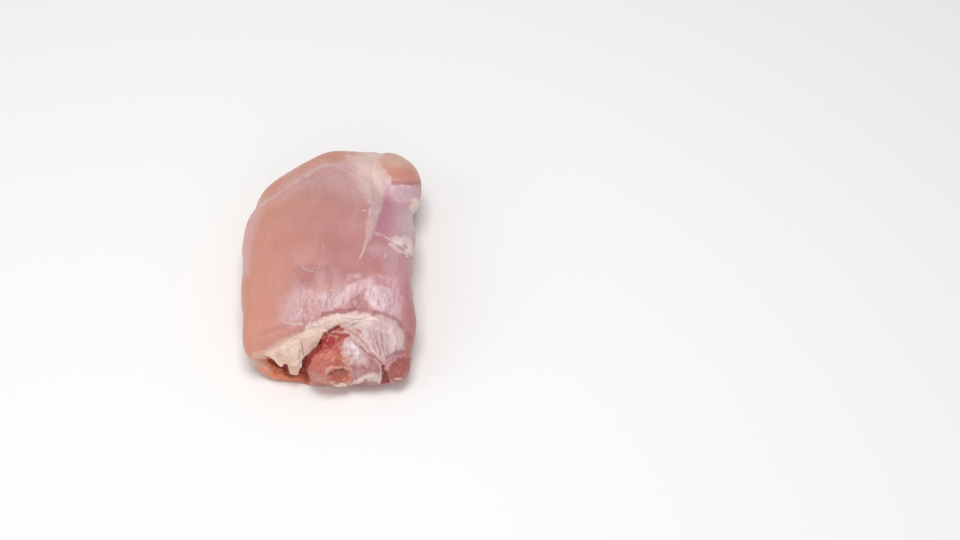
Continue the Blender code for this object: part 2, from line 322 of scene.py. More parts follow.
def swollen(mesh, amounts):
    """A copy of a mesh whose points are moved along their normals by amounts."""
    copy = mesh.copy()
    moves = [(vert.co.copy(), vert.normal.copy()) for vert in copy.vertices]
    for vert, (place, normal), amount in zip(copy.vertices, moves, amounts):
        vert.co = place + normal * amount
    return copy


def joined(name, meshes):
    """One object of several meshes."""
    return new_object(name, closed(opened(*meshes), bpy.data.meshes.new(name)))


# ---------------------------------------------------------------- marks


def points_of(path):
    """The points of a path that is written as x, y, x, y and so on."""
    return np.reshape(path, (-1, 2)).astype(float)


def rounded(path, passes=2):
    """The path with its corners cut, which keeps its ends."""
    points = list(path)
    for _ in range(passes):
        cut = [points[0]]
        for start, end in zip(points, points[1:]):
            cut += [start * 0.75 + end * 0.25, start * 0.25 + end * 0.75]
        points = cut + [points[-1]]
    return np.array(points)


def distance_to(path, spots):
    """Each spot's distance from a path, in pixels, and its share of the way along it."""
    nearest = np.full(len(spots), 1e9)
    along = np.zeros(len(spots))
    lengths = np.linalg.norm(np.diff(path, axis=0), axis=1)
    before = np.concatenate([[0.0], np.cumsum(lengths)])
    for index, (start, end) in enumerate(zip(path, path[1:])):
        run = end - start
        share = np.clip(((spots - start) @ run) / max(run @ run, 1e-9), 0, 1)
        away = np.linalg.norm(spots - start - share[:, None] * run, axis=1)
        closer = away < nearest
        nearest = np.where(closer, away, nearest)
        along = np.where(closer, (before[index] + share * lengths[index]) / before[-1], along)
    return nearest, along


def inside(outline, spots):
    """Whether each spot is inside a closed outline."""
    result = np.zeros(len(spots), bool)
    for (x0, y0), (x1, y1) in zip(outline, np.roll(outline, -1, axis=0)):
        if y0 == y1:
            continue
        crosses = (y0 > spots[:, 1]) != (y1 > spots[:, 1])
        at = (x1 - x0) * (spots[:, 1] - y0) / (y1 - y0) + x0
        result ^= crosses & (spots[:, 0] < at)
    return result


@dataclass
class Mark:
    """A patch or a line of one tissue that shows in the photograph, in its pixels.

    A patch has a closed outline and no width. A line has a half width at its start and one at its
    end. The soft edge and its wobble, which is how uneven it is, are in pixels too. The rise is the
    height of the mark's relief in millimetres.
    """

    tissue: str
    path: np.ndarray
    width: tuple
    soft: float
    strength: float
    wobble: float
    rise: float

    def share(self, skin):
        """The share by which each point of the skin is on the mark."""
        spots = skin.wobbled(self.wobble)
        margin = self.soft + max(self.width or (0,)) + 1
        low = np.min(self.path, axis=0) - margin
        high = np.max(self.path, axis=0) + margin
        near = np.all((spots > low) & (spots < high), axis=1) & (skin.facing > 0)
        result = np.zeros(len(spots))
        if self.width is None:
            outline = rounded([*self.path, self.path[0]])
            away, _ = distance_to(outline, spots[near])
            signed = np.where(inside(outline, spots[near]), away, -away)
            result[near] = smoothstep(-self.soft, self.soft, signed)
        else:
            away, along = distance_to(rounded(self.path), spots[near])
            half = self.width[0] + (self.width[1] - self.width[0]) * along
            result[near] = 1 - smoothstep(half, half + self.soft, away)
        return result * skin.facing


def patch(tissue, path, soft, strength=1.0, wobble=1.0, rise=0.0):
    """A patch with this outline."""
    return Mark(tissue, points_of(path), None, soft, strength, wobble, rise)


def line(tissue, path, start, end, soft, strength=1.0, wobble=1.0, rise=0.0):
    """A line along this path, with its half widths at the start and the end."""
    return Mark(tissue, points_of(path), (start, end), soft, strength, wobble, rise)


def marked(skin, marks):
    """The relief, and one number a point for each tissue, that the marks give."""
    heights = np.zeros(len(skin.points))
    tissues = {}
    for mark in marks:
        share = mark.share(skin)
        heights += share * mark.rise * MM
        tissues[mark.tissue] = np.maximum(tissues.get(mark.tissue, 0.0), share * mark.strength)
    return heights, tissues


def relief(skin, tissues, rows):
    """The heights of bumps, each row of which gives a tissue, height, size, seed and stretch."""
    heights = np.zeros(len(skin.points))
    for tissue, height, size, seed, stretch in rows:
        share = tissues[tissue] if tissue else 1.0
        heights += share * height * MM * skin.grain(size * MM, seed, stretch)
    return heights


def give(thing, material):
    """Gives an object one material."""
    thing.data.materials.clear()
    thing.data.materials.append(material)


def store(thing, tissues):
    """Keeps one number a point on the mesh for each tissue, for the material to read."""
    for name, values in tissues.items():
        layer = thing.data.attributes.new(name, "FLOAT", "POINT")
        layer.data.foreach_set("value", np.clip(values, 0, 1).astype(np.float32))


# ---------------------------------------------------------------- the meat

FAR_EDGE = (259, 207, 275, 197, 289, 187, 305, 176, 319, 168, 333, 165, 351, 167, 364, 174)
TENDON = (375, 192, 380, 187, 385, 190, 383, 202, 380, 212, 376, 226, 371, 238, 367, 245, 366, 240,
    366, 230, 367, 220, 370, 207)
FLAP_EDGE = (262, 354, 268, 356, 271, 358, 274, 360, 278, 365, 281, 367, 283, 366, 284, 364, 287, 364,
    289, 370, 290, 374, 294, 375, 298, 375, 299, 371, 300, 368, 302, 367, 302, 361, 303, 358, 307, 355,
    312, 351, 316, 347, 318, 344, 320, 340)
FLAP_ROOT = (324, 334, 318, 330, 311, 329, 304, 331, 297, 335, 290, 338, 281, 343, 273, 348, 264, 352)

MEAT_MARKS = (
    # Broad colours of the flesh.
    patch("warm", (254, 210, 276, 196, 292, 186, 306, 177, 322, 169, 340, 166, 354, 166, 362, 158,
        368, 148, 340, 142, 296, 156, 262, 182, 250, 200), 3, 0.85),
    patch("warm", (376, 158, 385, 151, 398, 150, 414, 156, 430, 172, 430, 186, 416, 184, 402, 184,
        391, 182, 385, 176, 379, 168), 5, 0.75, rise=0.4),
    patch("deep_pink_and_shade", (326, 232, 352, 238, 364, 252, 372, 268, 356, 280, 332, 276, 322, 252), 14, 0.8),
    # Painted shade on the slope above the film: this deep patch and the shade patch after it.
    patch("deep_pink_and_shade", (296, 270, 324, 262, 362, 260, 392, 262, 384, 276, 352, 284, 322, 292, 296, 294), 8, 1,
        3),
    patch("shade", (300, 266, 346, 266, 360, 276, 338, 284, 306, 286), 7, 0.28, 3),
    # Painted shadow along the right edge.
    patch("deep_pink_and_shade", (406, 266, 420, 266, 420, 352, 409, 352, 406, 320, 405, 290), 4, 1, 2),
    # A painted highlight along the left silhouette.
    line("veil", (244, 270, 246, 240, 256, 210, 262, 204), 1.5, 1, 9, 0.45, 2),
    patch("deep_pink_and_shade", (384, 258, 410, 262, 414, 276, 396, 276, 380, 270), 5, 0.3, 2),
    patch("lilac", (381, 200, 396, 200, 398, 222, 390, 238, 371, 240, 374, 224, 378, 210), 5, 0.8),
    patch("lilac", (384, 188, 391, 188, 392, 196, 386, 198, 382, 194), 3),
    patch("lilac", (366, 238, 396, 243, 414, 258, 416, 320, 404, 318, 392, 274, 360, 264), 8, 0.2),
    patch("veil", (384, 248, 398, 250, 402, 262, 402, 320, 392, 316, 388, 284, 380, 268), 7, 0.35, 3),
    # The far edge of the upper muscle, and the streaks of membrane beside it.
    line("veil", FAR_EDGE, 0.3, 0.5, 2.5, 0.75, 1.5, rise=0.3),
    patch("veil", (262, 205, 290, 188, 318, 170, 340, 167, 360, 174, 362, 200, 340, 196, 326, 182,
        300, 190, 274, 206), 7, 0.4, 3),
    patch("veil", (264, 200, 284, 180, 306, 165, 324, 158, 330, 162, 308, 172, 286, 188), 4, 0.3, 3),
    patch("cream", (376, 155, 388, 152, 404, 157, 411, 166, 400, 169, 386, 167), 7, 0.42),
    line("veil", (295, 181, 315, 170, 327, 163), 0.3, 0.5, 1.6, 0.6, rise=0.1),
    line("veil", (321, 164, 339, 168, 357, 175, 362, 181), 0.4, 0.3, 1.6, 0.6, rise=0.1),
    # Fat at the hip end, from which the tendon runs down.
    patch("veil", (343, 160, 354, 156, 372, 156, 382, 170, 391, 183, 388, 194, 374, 200, 362, 198,
        352, 184, 344, 170), 8, 0.6, 3),
    patch("cream", (354, 162, 364, 158, 376, 158, 382, 168, 386, 180, 382, 192, 374, 198, 364, 192,
        357, 178), 8, 0.65, 3),
    patch("cream", (366, 164, 374, 162, 380, 168, 384, 180, 382, 189, 374, 188, 369, 178), 6, 0.85, 3,
        rise=0.2),
    patch("fat", (369, 168, 374, 165, 378, 172, 378, 182, 373, 185, 370, 178), 6, 0.3, 3, rise=0.1),
    line("cream", (349, 158, 358, 157, 366, 160), 0.4, 1.8, 5.5, 0.5, 2.5, rise=0.1),
    patch("cream", (362, 150, 382, 150, 384, 158, 378, 166, 364, 165), 5, 0.75, 2),
    line("cream", (377, 160, 381, 170, 389, 180), 1.6, 0.8, 4, 0.5, 2, rise=0.2),
    patch("haze", (378, 172, 386, 176, 393, 184, 388, 190, 380, 186, 376, 178), 4, 0.5, 2),
    patch("sinew", TENDON, 2, 0.8, rise=0.3),
    line("sinew", (367, 240, 364, 250, 360, 258), 1, 0.4, 1.4, 0.8, rise=0.25),
    line("cream", (370, 184, 371, 192, 369, 202), 0.6, 0.3, 3, 0.5, 1.5, rise=0.1),
    # The veil over the top of the sunken strip, its paler right side, and the fold under the hip lobe.
    patch("haze", (390, 184, 402, 185, 419, 186, 420, 203, 404, 204, 393, 202, 390, 194), 4.5, 0.85, 2),
    patch("veil", (396, 188, 410, 188, 412, 198, 398, 198), 4, 0.4, 2),
    patch("lilac", (384, 190, 391, 191, 391, 198, 385, 198), 3),
    patch("haze", (398, 204, 420, 204, 418, 240, 404, 240, 394, 236, 394, 218), 12, 0.9, 3),
    patch("veil", (393, 184, 404, 185, 418, 186, 418, 191, 402, 191), 3, 0.6, 2),
    line("veil", (410, 204, 412, 220, 410, 236), 0.8, 1, 4, 0.6, 2),
    patch("veil", (386, 246, 396, 249, 401, 262, 388, 263), 4, 0.5, 2),
    patch("veil", (368, 246, 389, 245, 391, 256, 370, 257), 4, 0.5, 2),
    line("shade", (394, 182, 403, 184, 418, 183), 0.3, 0.6, 2, 0.4, 0.5, rise=-0.4),
    line("sinew", (392, 187, 400, 186, 411, 187), 0.4, 0.4, 1.2, 0.7, rise=0.15),
    line("sinew", (393, 200, 402, 201, 411, 200), 0.7, 0.7, 2.4, 0.5, 1.5, rise=0.12),
    line("sinew", (373, 232, 382, 235, 391, 240), 0.4, 0.5, 1, 0.8, rise=0.2),
    line("sinew", (391, 239, 397, 238, 406, 238, 411, 242, 413, 251, 412, 256), 1.4, 0.8, 1.6, 0.9, 1.5,
        rise=0.3),
    patch("bright", (391, 240, 396, 238, 404, 239, 410, 245, 412, 254, 406, 256, 400, 253, 394, 249), 2.8,
        1, 3, rise=0.35),
    line("bright", (390, 244, 396, 249, 402, 253, 408, 257), 0.9, 0.4, 0.9, 1, 1.5, rise=0.35),
    line("bright", (401, 240, 407, 242, 410, 249, 409, 255), 0.7, 0.5, 0.9, 1, 1.5, rise=0.35),
    line("shade", (398, 246, 400, 247, 403, 250), 1.2, 0.6, 1.2, 0.5, rise=-0.8),
    line("shade", (404, 245, 406, 248), 0.4, 0.3, 1, 0.45, rise=-0.5),
    patch("cream", (411, 199, 416, 198, 420, 204, 417, 212, 412, 213, 411, 206), 2.2, 1, 2, rise=0.5),
    # The wrinkled film over the near slope: three patches, and bare places between them. Its whitish
    # colour, and that of the veil patches beside it, is partly the film's own and partly a painted
    # highlight.
    patch("film_and_highlight", (286, 324, 286, 312, 290, 300, 296, 292, 303, 287, 309, 289, 309, 297, 305, 306,
        302, 322, 294, 325), 5, 0.4, 2.5, rise=0.1),
    patch("film_and_highlight", (314, 302, 318, 293, 327, 290, 340, 289, 350, 285, 357, 279, 372, 277, 377, 281,
        372, 287, 362, 290, 355, 296, 349, 303, 340, 307, 330, 310, 321, 313), 2.6, 0.66, 2.5, rise=0.15),
    patch("film_and_highlight", (365, 297, 367, 289, 373, 283, 382, 285, 391, 288, 395, 297, 392, 307, 385, 311,
        374, 310, 368, 305), 2, 1, 2, rise=0.2),
    patch("film_and_highlight", (287, 322, 289, 309, 297, 304, 305, 308, 304, 321), 4, 0.6, 2),
    line("film_and_highlight", (347, 277, 353, 274, 360, 276), 0.6, 1, 2, 0.5, 2, rise=0.1),
    patch("veil", (303, 292, 316, 290, 320, 312, 316, 324, 304, 326), 4, 0.4, 3),
    patch("veil", (378, 276, 396, 276, 401, 290, 402, 318, 390, 318, 376, 314, 394, 306, 393, 288), 4,
        0.8, 2.5),
    patch("veil", (278, 322, 282, 302, 292, 288, 302, 284, 306, 290, 294, 302, 288, 324), 6, 0.4, 3),
    patch("shade", (354, 297, 360, 293, 365, 298, 366, 308, 360, 311, 353, 309, 350, 304), 2.5, 0.35, 2,
        rise=-0.15),
    # The groove over the collar.
    line("shade", (322, 316, 329, 313, 335, 311, 343, 311, 350, 310, 356, 309), 0.5, 0.5, 2, 0.55, 1.5,
        rise=-0.5),
    line("shade", (374, 312, 381, 312, 388, 315, 397, 319, 403, 328), 0.5, 0.4, 2, 0.45, 1.5, rise=-0.4),
    patch("deep_pink_and_shade", (284, 340, 292, 330, 303, 324, 306, 330, 300, 337, 288, 342), 3, 0.5, rise=-0.15),
    line("sinew", (284, 323, 292, 324, 301, 324), 0.4, 0.6, 1.2, 0.7, rise=0.15),
    line("cream", (266, 352, 275, 345, 286, 340, 298, 334), 0.5, 1, 2.5, 0.4, 1.5),
    # The collar of connective tissue: cream at the left, and whitish where it passes into the capsule.
    patch("fat", (303, 325, 307, 322, 315, 320, 323, 318, 328, 315, 334, 314, 341, 313, 352, 314,
        358, 318, 352, 326, 345, 325, 338, 325, 332, 327, 328, 331, 322, 338, 312, 334, 304, 334), 2.4,
        0.75, 2, rise=0.3),
    line("cream", (334, 319, 348, 317, 362, 317, 374, 319), 3.2, 2.2, 4, 0.7, 3, rise=0.15),
    line("cream", (374, 319, 386, 322, 395, 328, 400, 337), 2, 1.4, 5, 0.4, 3, rise=0.1),
    line("cream", (336, 324, 347, 325, 358, 326), 1, 1.4, 3, 0.5, 2),
    patch("cream", (384, 332, 394, 330, 400, 338, 396, 350, 387, 350), 5, 0.45, 2),
    patch("capsule", (340, 313, 350, 314, 360, 313, 376, 315, 388, 318, 398, 322, 405, 331, 407, 343,
        403, 352, 394, 356, 387, 360, 380, 358, 372, 350, 364, 342, 357, 334, 348, 326, 340, 322), 4.5,
        0.95, 2, rise=0.2),
    patch("bright", (338, 316, 352, 315, 364, 315, 374, 319, 372, 326, 358, 325, 342, 322), 4, 0.85, 2.5),
    patch("bright", (386, 336, 394, 332, 400, 340, 396, 350, 388, 348), 4, 0.45, 2),
    patch("bright", (364, 332, 371, 336, 375, 346, 380, 356, 376, 358, 368, 346), 3, 0.5, 2),
    line("sinew", (312, 325, 324, 321, 336, 317, 350, 318, 364, 316, 380, 319), 0.6, 0.8, 1.8, 0.4, 2,
        rise=0.3),
    line("sinew", (336, 321, 346, 321, 356, 322, 366, 320, 378, 321), 0.4, 0.5, 1.6, 0.4, 2, rise=0.3),
    line("shade", (330, 322, 342, 320, 354, 320, 366, 319), 0.2, 0.2, 1.4, 0.25, 2, rise=-0.25),
    # Wrinkles and strands of the capsule, and the smooth sheath between it and the bone.
    patch("sheath", (352, 362, 360, 357, 366, 358, 376, 361, 385, 365, 386, 376, 384, 388, 350, 390,
        350, 376), 2.5, 0.95, 1.5),
    patch("bright", (338, 342, 344, 335, 352, 336, 360, 342, 368, 352, 371, 360, 362, 366, 354, 364,
        344, 358), 4, 0.5, 2),
    line("sinew", (345, 331, 352, 336, 358, 341, 364, 347, 369, 352), 1.2, 0.7, 1.2, 0.9, 0.8, rise=0.5),
    line("sinew", (350, 329, 358, 333, 366, 341, 372, 348, 377, 356), 0.6, 0.5, 1.2, 0.8, 0.8, rise=0.4),
    line("shade", (360, 347, 367, 353, 375, 358, 383, 364), 0.6, 0.4, 1.6, 0.55, 0.8, rise=-0.6),
    line("shade", (363, 368, 370, 371, 378, 373), 0.3, 0.3, 1.8, 0.35, rise=-0.3),
    line("shade", (354, 386, 364, 383, 372, 386, 382, 387), 0.8, 0.8, 2.5, 0.45, rise=-0.4),
    line("shade", (366, 354, 374, 362, 380, 370), 1.5, 0.8, 4, 0.35, 1.5, rise=-0.2),
    line("sinew", (375, 360, 380, 366, 382, 374), 0.5, 0.5, 1.4, 0.6, rise=0.35),
    line("shade", (372, 337, 373, 345, 376, 352), 0.3, 0.3, 1.2, 0.35, rise=-0.3),
    line("shade", (377, 336, 378, 345, 380, 354), 0.4, 0.3, 1.4, 0.4, rise=-0.35),
    line("shade", (382, 335, 382, 343, 384, 351), 0.3, 0.4, 1.4, 0.35, rise=-0.35),
    line("sinew", (379, 334, 380, 342, 382, 352, 386, 360), 0.4, 0.4, 1.2, 0.5, rise=0.3),
    line("sinew", (392, 330, 396, 340, 394, 352), 0.5, 0.4, 1.8, 0.4, 1.5, rise=0.3),
    line("shade", (388, 357, 396, 353, 404, 352), 1, 0.8, 2, 0.5, rise=-0.3),
    patch("shade", (366, 328, 376, 327, 384, 338, 380, 351, 370, 344), 5, 0.16, 2),
    patch("bright", (365, 378, 372, 373, 384, 373, 383, 382, 374, 382, 367, 381), 2.4, 0.9, 1.5,
        rise=0.3),
    patch("cream", (375, 357, 385, 357, 386, 366, 378, 367), 3, 0.35, 2),
    line("bright", (349, 384, 357, 382, 363, 378, 370, 375), 1, 1, 1.6, 0.9, rise=0.5),
    # The knob at the right, with a pale cord over it whose arc along the rim is partly a painted highlight,
    # painted shade inside its top and under its lower right, and painted shade in the gap beside it.
    patch("plum_and_shade", (386, 370, 388, 363, 393, 358, 401, 356, 409, 356, 416, 362, 416, 373, 410, 380,
        402, 384, 394, 383, 387, 378), 2.2, 0.95, rise=0.1),
    # The pale arc over the knob's rim: a cord, and partly a painted highlight.
    line("sinew", (386, 371, 389, 364, 395, 360), 0.6, 0.3, 2.2, 0.5, 1.5, rise=0.3),
    line("bright", (396, 359, 403, 357, 410, 359), 0.4, 0.5, 2.2, 0.5, 1.5, rise=0.3),
    line("shade", (391, 366, 397, 363, 405, 362), 1, 1, 2.5, 0.4, rise=-0.35),
    patch("raw", (394, 372, 402, 367, 411, 370, 408, 378, 399, 379), 3, 0.45),
    # Painted shadow along the right edge beside the knob.
    patch("plum_and_shade", (403, 334, 413, 332, 418, 356, 405, 358), 3, 0.65, 2),
    # Painted shade under the knob's lower right side.
    line("shadow_and_blood", (403, 383, 409, 379, 412, 373, 413, 366), 1, 0.5, 2, 0.8, rise=-0.4),
    line("shade", (388, 358, 394, 354, 402, 353), 0.8, 0.6, 2.5, 0.4, rise=-0.2),
    line("sinew", (395, 379, 398, 378, 402, 379), 0.6, 0.5, 1, 0.8, rise=0.3),
    # Painted shade in the gap beside the knob.
    line("shadow_and_blood", (384, 367, 385, 376, 386, 388), 0.7, 4.2, 2, 1, 0.8, rise=-0.9),
    # Torn flesh over the bone, with blood in it, and painted shade in its tears and in the gap between it
    # and the flap.
    patch("raw", (318, 342, 324, 336, 330, 331, 338, 328, 346, 330, 352, 333, 350, 337, 345, 340,
        342, 348, 330, 350, 316, 352), 2, 1, 1.5),
    patch("raw", (352, 331, 356, 329, 361, 330, 362, 335, 357, 336), 2.2, 0.75, 1.5, rise=-0.3),
    line("shadow_and_blood", (318, 345, 323, 339, 328, 333, 333, 329, 339, 327), 1.4, 0.4, 2, 0.85, rise=-0.5),
    line("shadow_and_blood", (324, 341, 326, 346, 332, 348), 0.5, 0.4, 1.4, 0.5, 1.5, rise=-0.2),
    patch("blood", (323, 339, 328, 336, 335, 338, 335, 343, 331, 346, 324, 346), 2.2, 1, 1.5),
    line("shadow_and_blood", (330, 336, 336, 333, 343, 336), 0.9, 0.5, 1.8, 0.5, 1.5, rise=-0.3),
    line("shadow_and_blood", (339, 340, 344, 336, 349, 335), 0.6, 0.4, 1.4, 0.5, 1.5, rise=-0.4),
    line("shadow_and_blood", (331, 330, 338, 328, 346, 330), 0.6, 0.4, 1.6, 0.6, 1.5, rise=-0.4),
    line("blood", (345, 338, 350, 336), 0.5, 0.3, 1.2, 0.5, 1.5, rise=-0.2),
    line("sinew", (332, 332, 338, 332, 345, 333), 0.3, 0.3, 1.2, 0.6, rise=0.3),
    # The hollow under the flap, with painted shade in it, and the rust-coloured edge of the flesh below it.
    patch("hollow", (265, 360, 270, 355, 280, 352, 300, 344, 318, 340, 324, 346, 312, 364, 308, 388,
        284, 384, 270, 373), 4, rise=-0.4),
    patch("shadow_and_blood", (270, 358, 280, 356, 296, 360, 304, 350, 318, 340, 324, 345, 312, 360, 309, 374,
        309, 388, 300, 380, 284, 370), 4.5, 0.8, 2, rise=-0.9),
    line("cream", (254, 356, 261, 355, 268, 355), 0.8, 1.4, 3.5, 0.35, 1.5, rise=0.2),
    patch("rust", (260, 362, 264, 359, 271, 361, 278, 366, 277, 372, 266, 369), 4, 0.65),
    line("cream", (252, 361, 262, 364, 272, 370, 284, 376), 1.6, 1, 4, 0.6, 1.5),
    line("shadow_and_blood", (270, 360, 276, 364, 284, 369, 292, 377), 0.8, 1.4, 3, 0.66, 2, rise=-0.4),
    line("rust", (262, 371, 276, 377, 290, 380, 304, 383), 2.2, 0.8, 3, 0.8, rise=0.2),
    # A painted contact shadow along the bottom edge.
    line("shadow_and_blood", (286, 384, 304, 387, 330, 388, 356, 388, 382, 388), 0.4, 0.4, 1.8, 0.6),
)

# Where fine creases run down the film and the capsule: the area, how many, how long, and their depth. The
# creases are darkened with painted shade.
CREASED = (
    ((300, 290, 314, 292, 322, 296, 322, 314, 314, 323, 303, 324, 301, 306), 34, (3, 9), 0.2),
    ((318, 294, 334, 288, 350, 284, 352, 296, 338, 304, 320, 310), 26, (2, 6), 0.14),
    ((346, 296, 358, 288, 367, 292, 368, 308, 352, 310), 16, (3, 8), 0.2),
    ((366, 286, 384, 284, 394, 292, 392, 308, 370, 308), 7, (3, 7), 0.1),
    ((384, 280, 404, 284, 408, 312, 394, 316, 392, 296), 10, (3, 8), 0.14),
    ((282, 300, 300, 286, 302, 322, 282, 324), 8, (3, 7), 0.1),
    ((366, 332, 376, 328, 388, 332, 388, 354, 378, 356, 370, 344), 12, (4, 10), 0.22),
    ((388, 330, 400, 332, 404, 344, 396, 354, 388, 350), 4, (4, 9), 0.12),
    ((350, 364, 366, 360, 382, 368, 382, 382, 352, 384), 10, (4, 9), 0.2),
)
CREASE_DRIFT = 0.7
# A crease's half widths at its start and its end, and its soft edge.
CREASE_EDGES = (0.25, 0.15, 0.8)
CREASE_STRENGTHS = (0.5, 1.0)
CREASE_WOBBLE = 0.4
CREASE_POINTS = 4
CREASE_SEED = 61


def fine_creases():
    """Seeded short wavy creases, as marks."""
    chance = np.random.default_rng(CREASE_SEED)
    marks = []
    for path, count, lengths, depth in CREASED:
        outline = points_of(path)
        low = np.min(outline, axis=0)
        high = np.max(outline, axis=0)
        made = 0
        while made < count:
            start = chance.uniform(low, high)
            if not inside(outline, start[None])[0]:
                continue
            across = start[0] + chance.normal(0, CREASE_DRIFT, CREASE_POINTS).cumsum()
            down = start[1] + np.linspace(0, chance.uniform(*lengths), CREASE_POINTS)
            course = np.stack([across, down], axis=1)
            strength = chance.uniform(*CREASE_STRENGTHS)
            marks.append(line("crease", course, *CREASE_EDGES, strength, CREASE_WOBBLE, -depth))
            made += 1
    return marks


# Where the skin is finest.
FINE_ZONE = (246, 350, 268, 340, 280, 326, 280, 300, 296, 282, 318, 284, 342, 276, 374, 272, 396, 278,
    412, 300, 412, 332, 418, 384, 384, 392, 300, 392, 250, 372)

# The veil that closes over the bone's right side hides it: right of this line the bone isn't bare.
BARE_RIGHT = (347, 330, 356, 340, 363, 350, 364, 358, 358, 366, 356, 374, 354, 392)
BARE_SOFT = 1.5


def bare_share(places):
    """The share by which the bone's points are bare of meat."""
    pixels = pixels_of(places)
    across, down = points_of(BARE_RIGHT).T
    left = smoothstep(BARE_SOFT, -BARE_SOFT, pixels[:, 0] - np.interp(pixels[:, 1], down, across))
    return left * smoothstep(*BONE_BARE_Y, places[:, 1])


def meat_source(frame):
    """The solids' meshes, with the bone swollen to close its bed and sunk where it is bare."""
    bone = frame["nodes"]["femur"].data
    bare = bare_share(vectors_of(bone.vertices, "co"))
    return [frame["nodes"]["meat"].data, swollen(bone, BONE_OVERLAP * (1 - bare) - BONE_PROUD * bare)]


# Where the broad colours set in: from the first place, where there is none, to the second. The warm
# ones set in unevenly, by so much, and low down there is less of them towards the right.
WARM_LEFT = (-4 * MM, -36 * MM)
WARM_LEFT_UNEVEN = 6 * MM
WARM_LOW = (22 * MM, 12 * MM)
WARM_LOW_UNEVEN = 3 * MM
WARM_LOW_STRENGTH = 0.8
LESS_WARM_RIGHT = (0 * MM, 24 * MM)
LESS_WARM_STRENGTH = 0.7
MAUVE_RIGHT = (-4 * MM, 26 * MM)

# On the sides that the camera doesn't see, the veil lies in streaks.
STREAK_STRENGTH = 0.5

# The bumps that follow each tissue, or lie everywhere: height, size, seed and stretch.
MEAT_RELIEF = (
    (None, 0.30, 10, 3, (1, 2.2, 1)),
    (None, 0.06, 2.0, 4, (1, 6, 1)),
    ("film_and_highlight", 0.18, 2.6, 14, (0.8, 2.2, 1)),
    ("fat", 0.22, 4, 7, EVEN),
    ("fat", 0.09, 1.5, 8, EVEN),
    ("capsule", 0.32, 3.4, 9, (0.8, 2.2, 2.2)),
    ("capsule", 0.10, 1.2, 10, EVEN),
    ("torn", 0.35, 2.6, 15, EVEN),
    ("torn", 0.18, 1.0, 16, EVEN),
)

# Thin wandering folds in what lies loose on the flesh: their depth, the size, seed and stretch of the
# noise that they follow where it is near 0, how near that is, and how much of each tissue they take.
# The folds are darkened with the same painted shade as the creases.
FOLD_DEPTH = 0.16 * MM
FOLD_GRAIN = (2.2 * MM, 5, (0.55, 2.6, 1))
FOLD_REACH = 0.25
FOLD_FILM = 0.4
FOLD_CAPSULE = 0.2


def meat_fields(skin, tissues):
    """The broad colours that follow from where the flesh lies."""
    across, height = skin.points[:, 0], skin.points[:, 2]
    uneven = skin.grain(16 * MM, 11)
    left = smoothstep(*WARM_LEFT, across + WARM_LEFT_UNEVEN * uneven)
    low = smoothstep(*WARM_LOW, height + WARM_LOW_UNEVEN * uneven)
    low *= WARM_LOW_STRENGTH * (1 - LESS_WARM_STRENGTH * smoothstep(*LESS_WARM_RIGHT, across))
    tissues["warm"] = np.maximum.reduce([tissues["warm"], left, low])
    tissues["mauve"] = smoothstep(*MAUVE_RIGHT, across) * (1 - tissues["warm"])
    hidden = 1 - skin.facing
    streaks = smoothstep(0.1, 0.7, skin.grain(7 * MM, 12, (1, 3, 0.6)) + 0.4 * skin.grain(2 * MM, 13))
    tissues["veil"] = np.maximum(tissues["veil"], STREAK_STRENGTH * hidden * streaks)


def sculpt_meat(skin):
    """The relief that the solid is too coarse for, and one number a point for each tissue."""
    heights, tissues = marked(skin, (*MEAT_MARKS, *fine_creases()))
    meat_fields(skin, tissues)
    loose = np.maximum(FOLD_FILM * tissues["film_and_highlight"], FOLD_CAPSULE * tissues["capsule"])
    folds = (1 - smoothstep(0.0, FOLD_REACH, np.abs(skin.grain(*FOLD_GRAIN)))) * loose
    tissues["crease"] = np.maximum(tissues["crease"], folds)
    torn = np.maximum.reduce([tissues["raw"], tissues["shadow_and_blood"], tissues["hollow"]])
    heights += relief(skin, {**tissues, "torn": torn}, MEAT_RELIEF) - FOLD_DEPTH * folds
    store(skin.thing, tissues)
    return raise_by(skin, heights)


def fine_points(skin):
    return inside(points_of(FINE_ZONE), skin.pixels) & (skin.facing > 0.5)


def make_meat(frame):
    thing = joined("meat_skin", meat_source(frame))
    keep_largest(remeshed(thing, MEAT_VOXEL, MEAT_SMOOTHING))
    make_finer(thing, read_skin(thing).facing > 0.5)
    make_finer(thing, fine_points(read_skin(thing)))
    thing.data.shade_smooth()
    skin = sculpt_meat(read_skin(thing))
    give(thing, meat_material())
    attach(thing, "root")
    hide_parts("meat")
    return skin


# ---------------------------------------------------------------- the bone

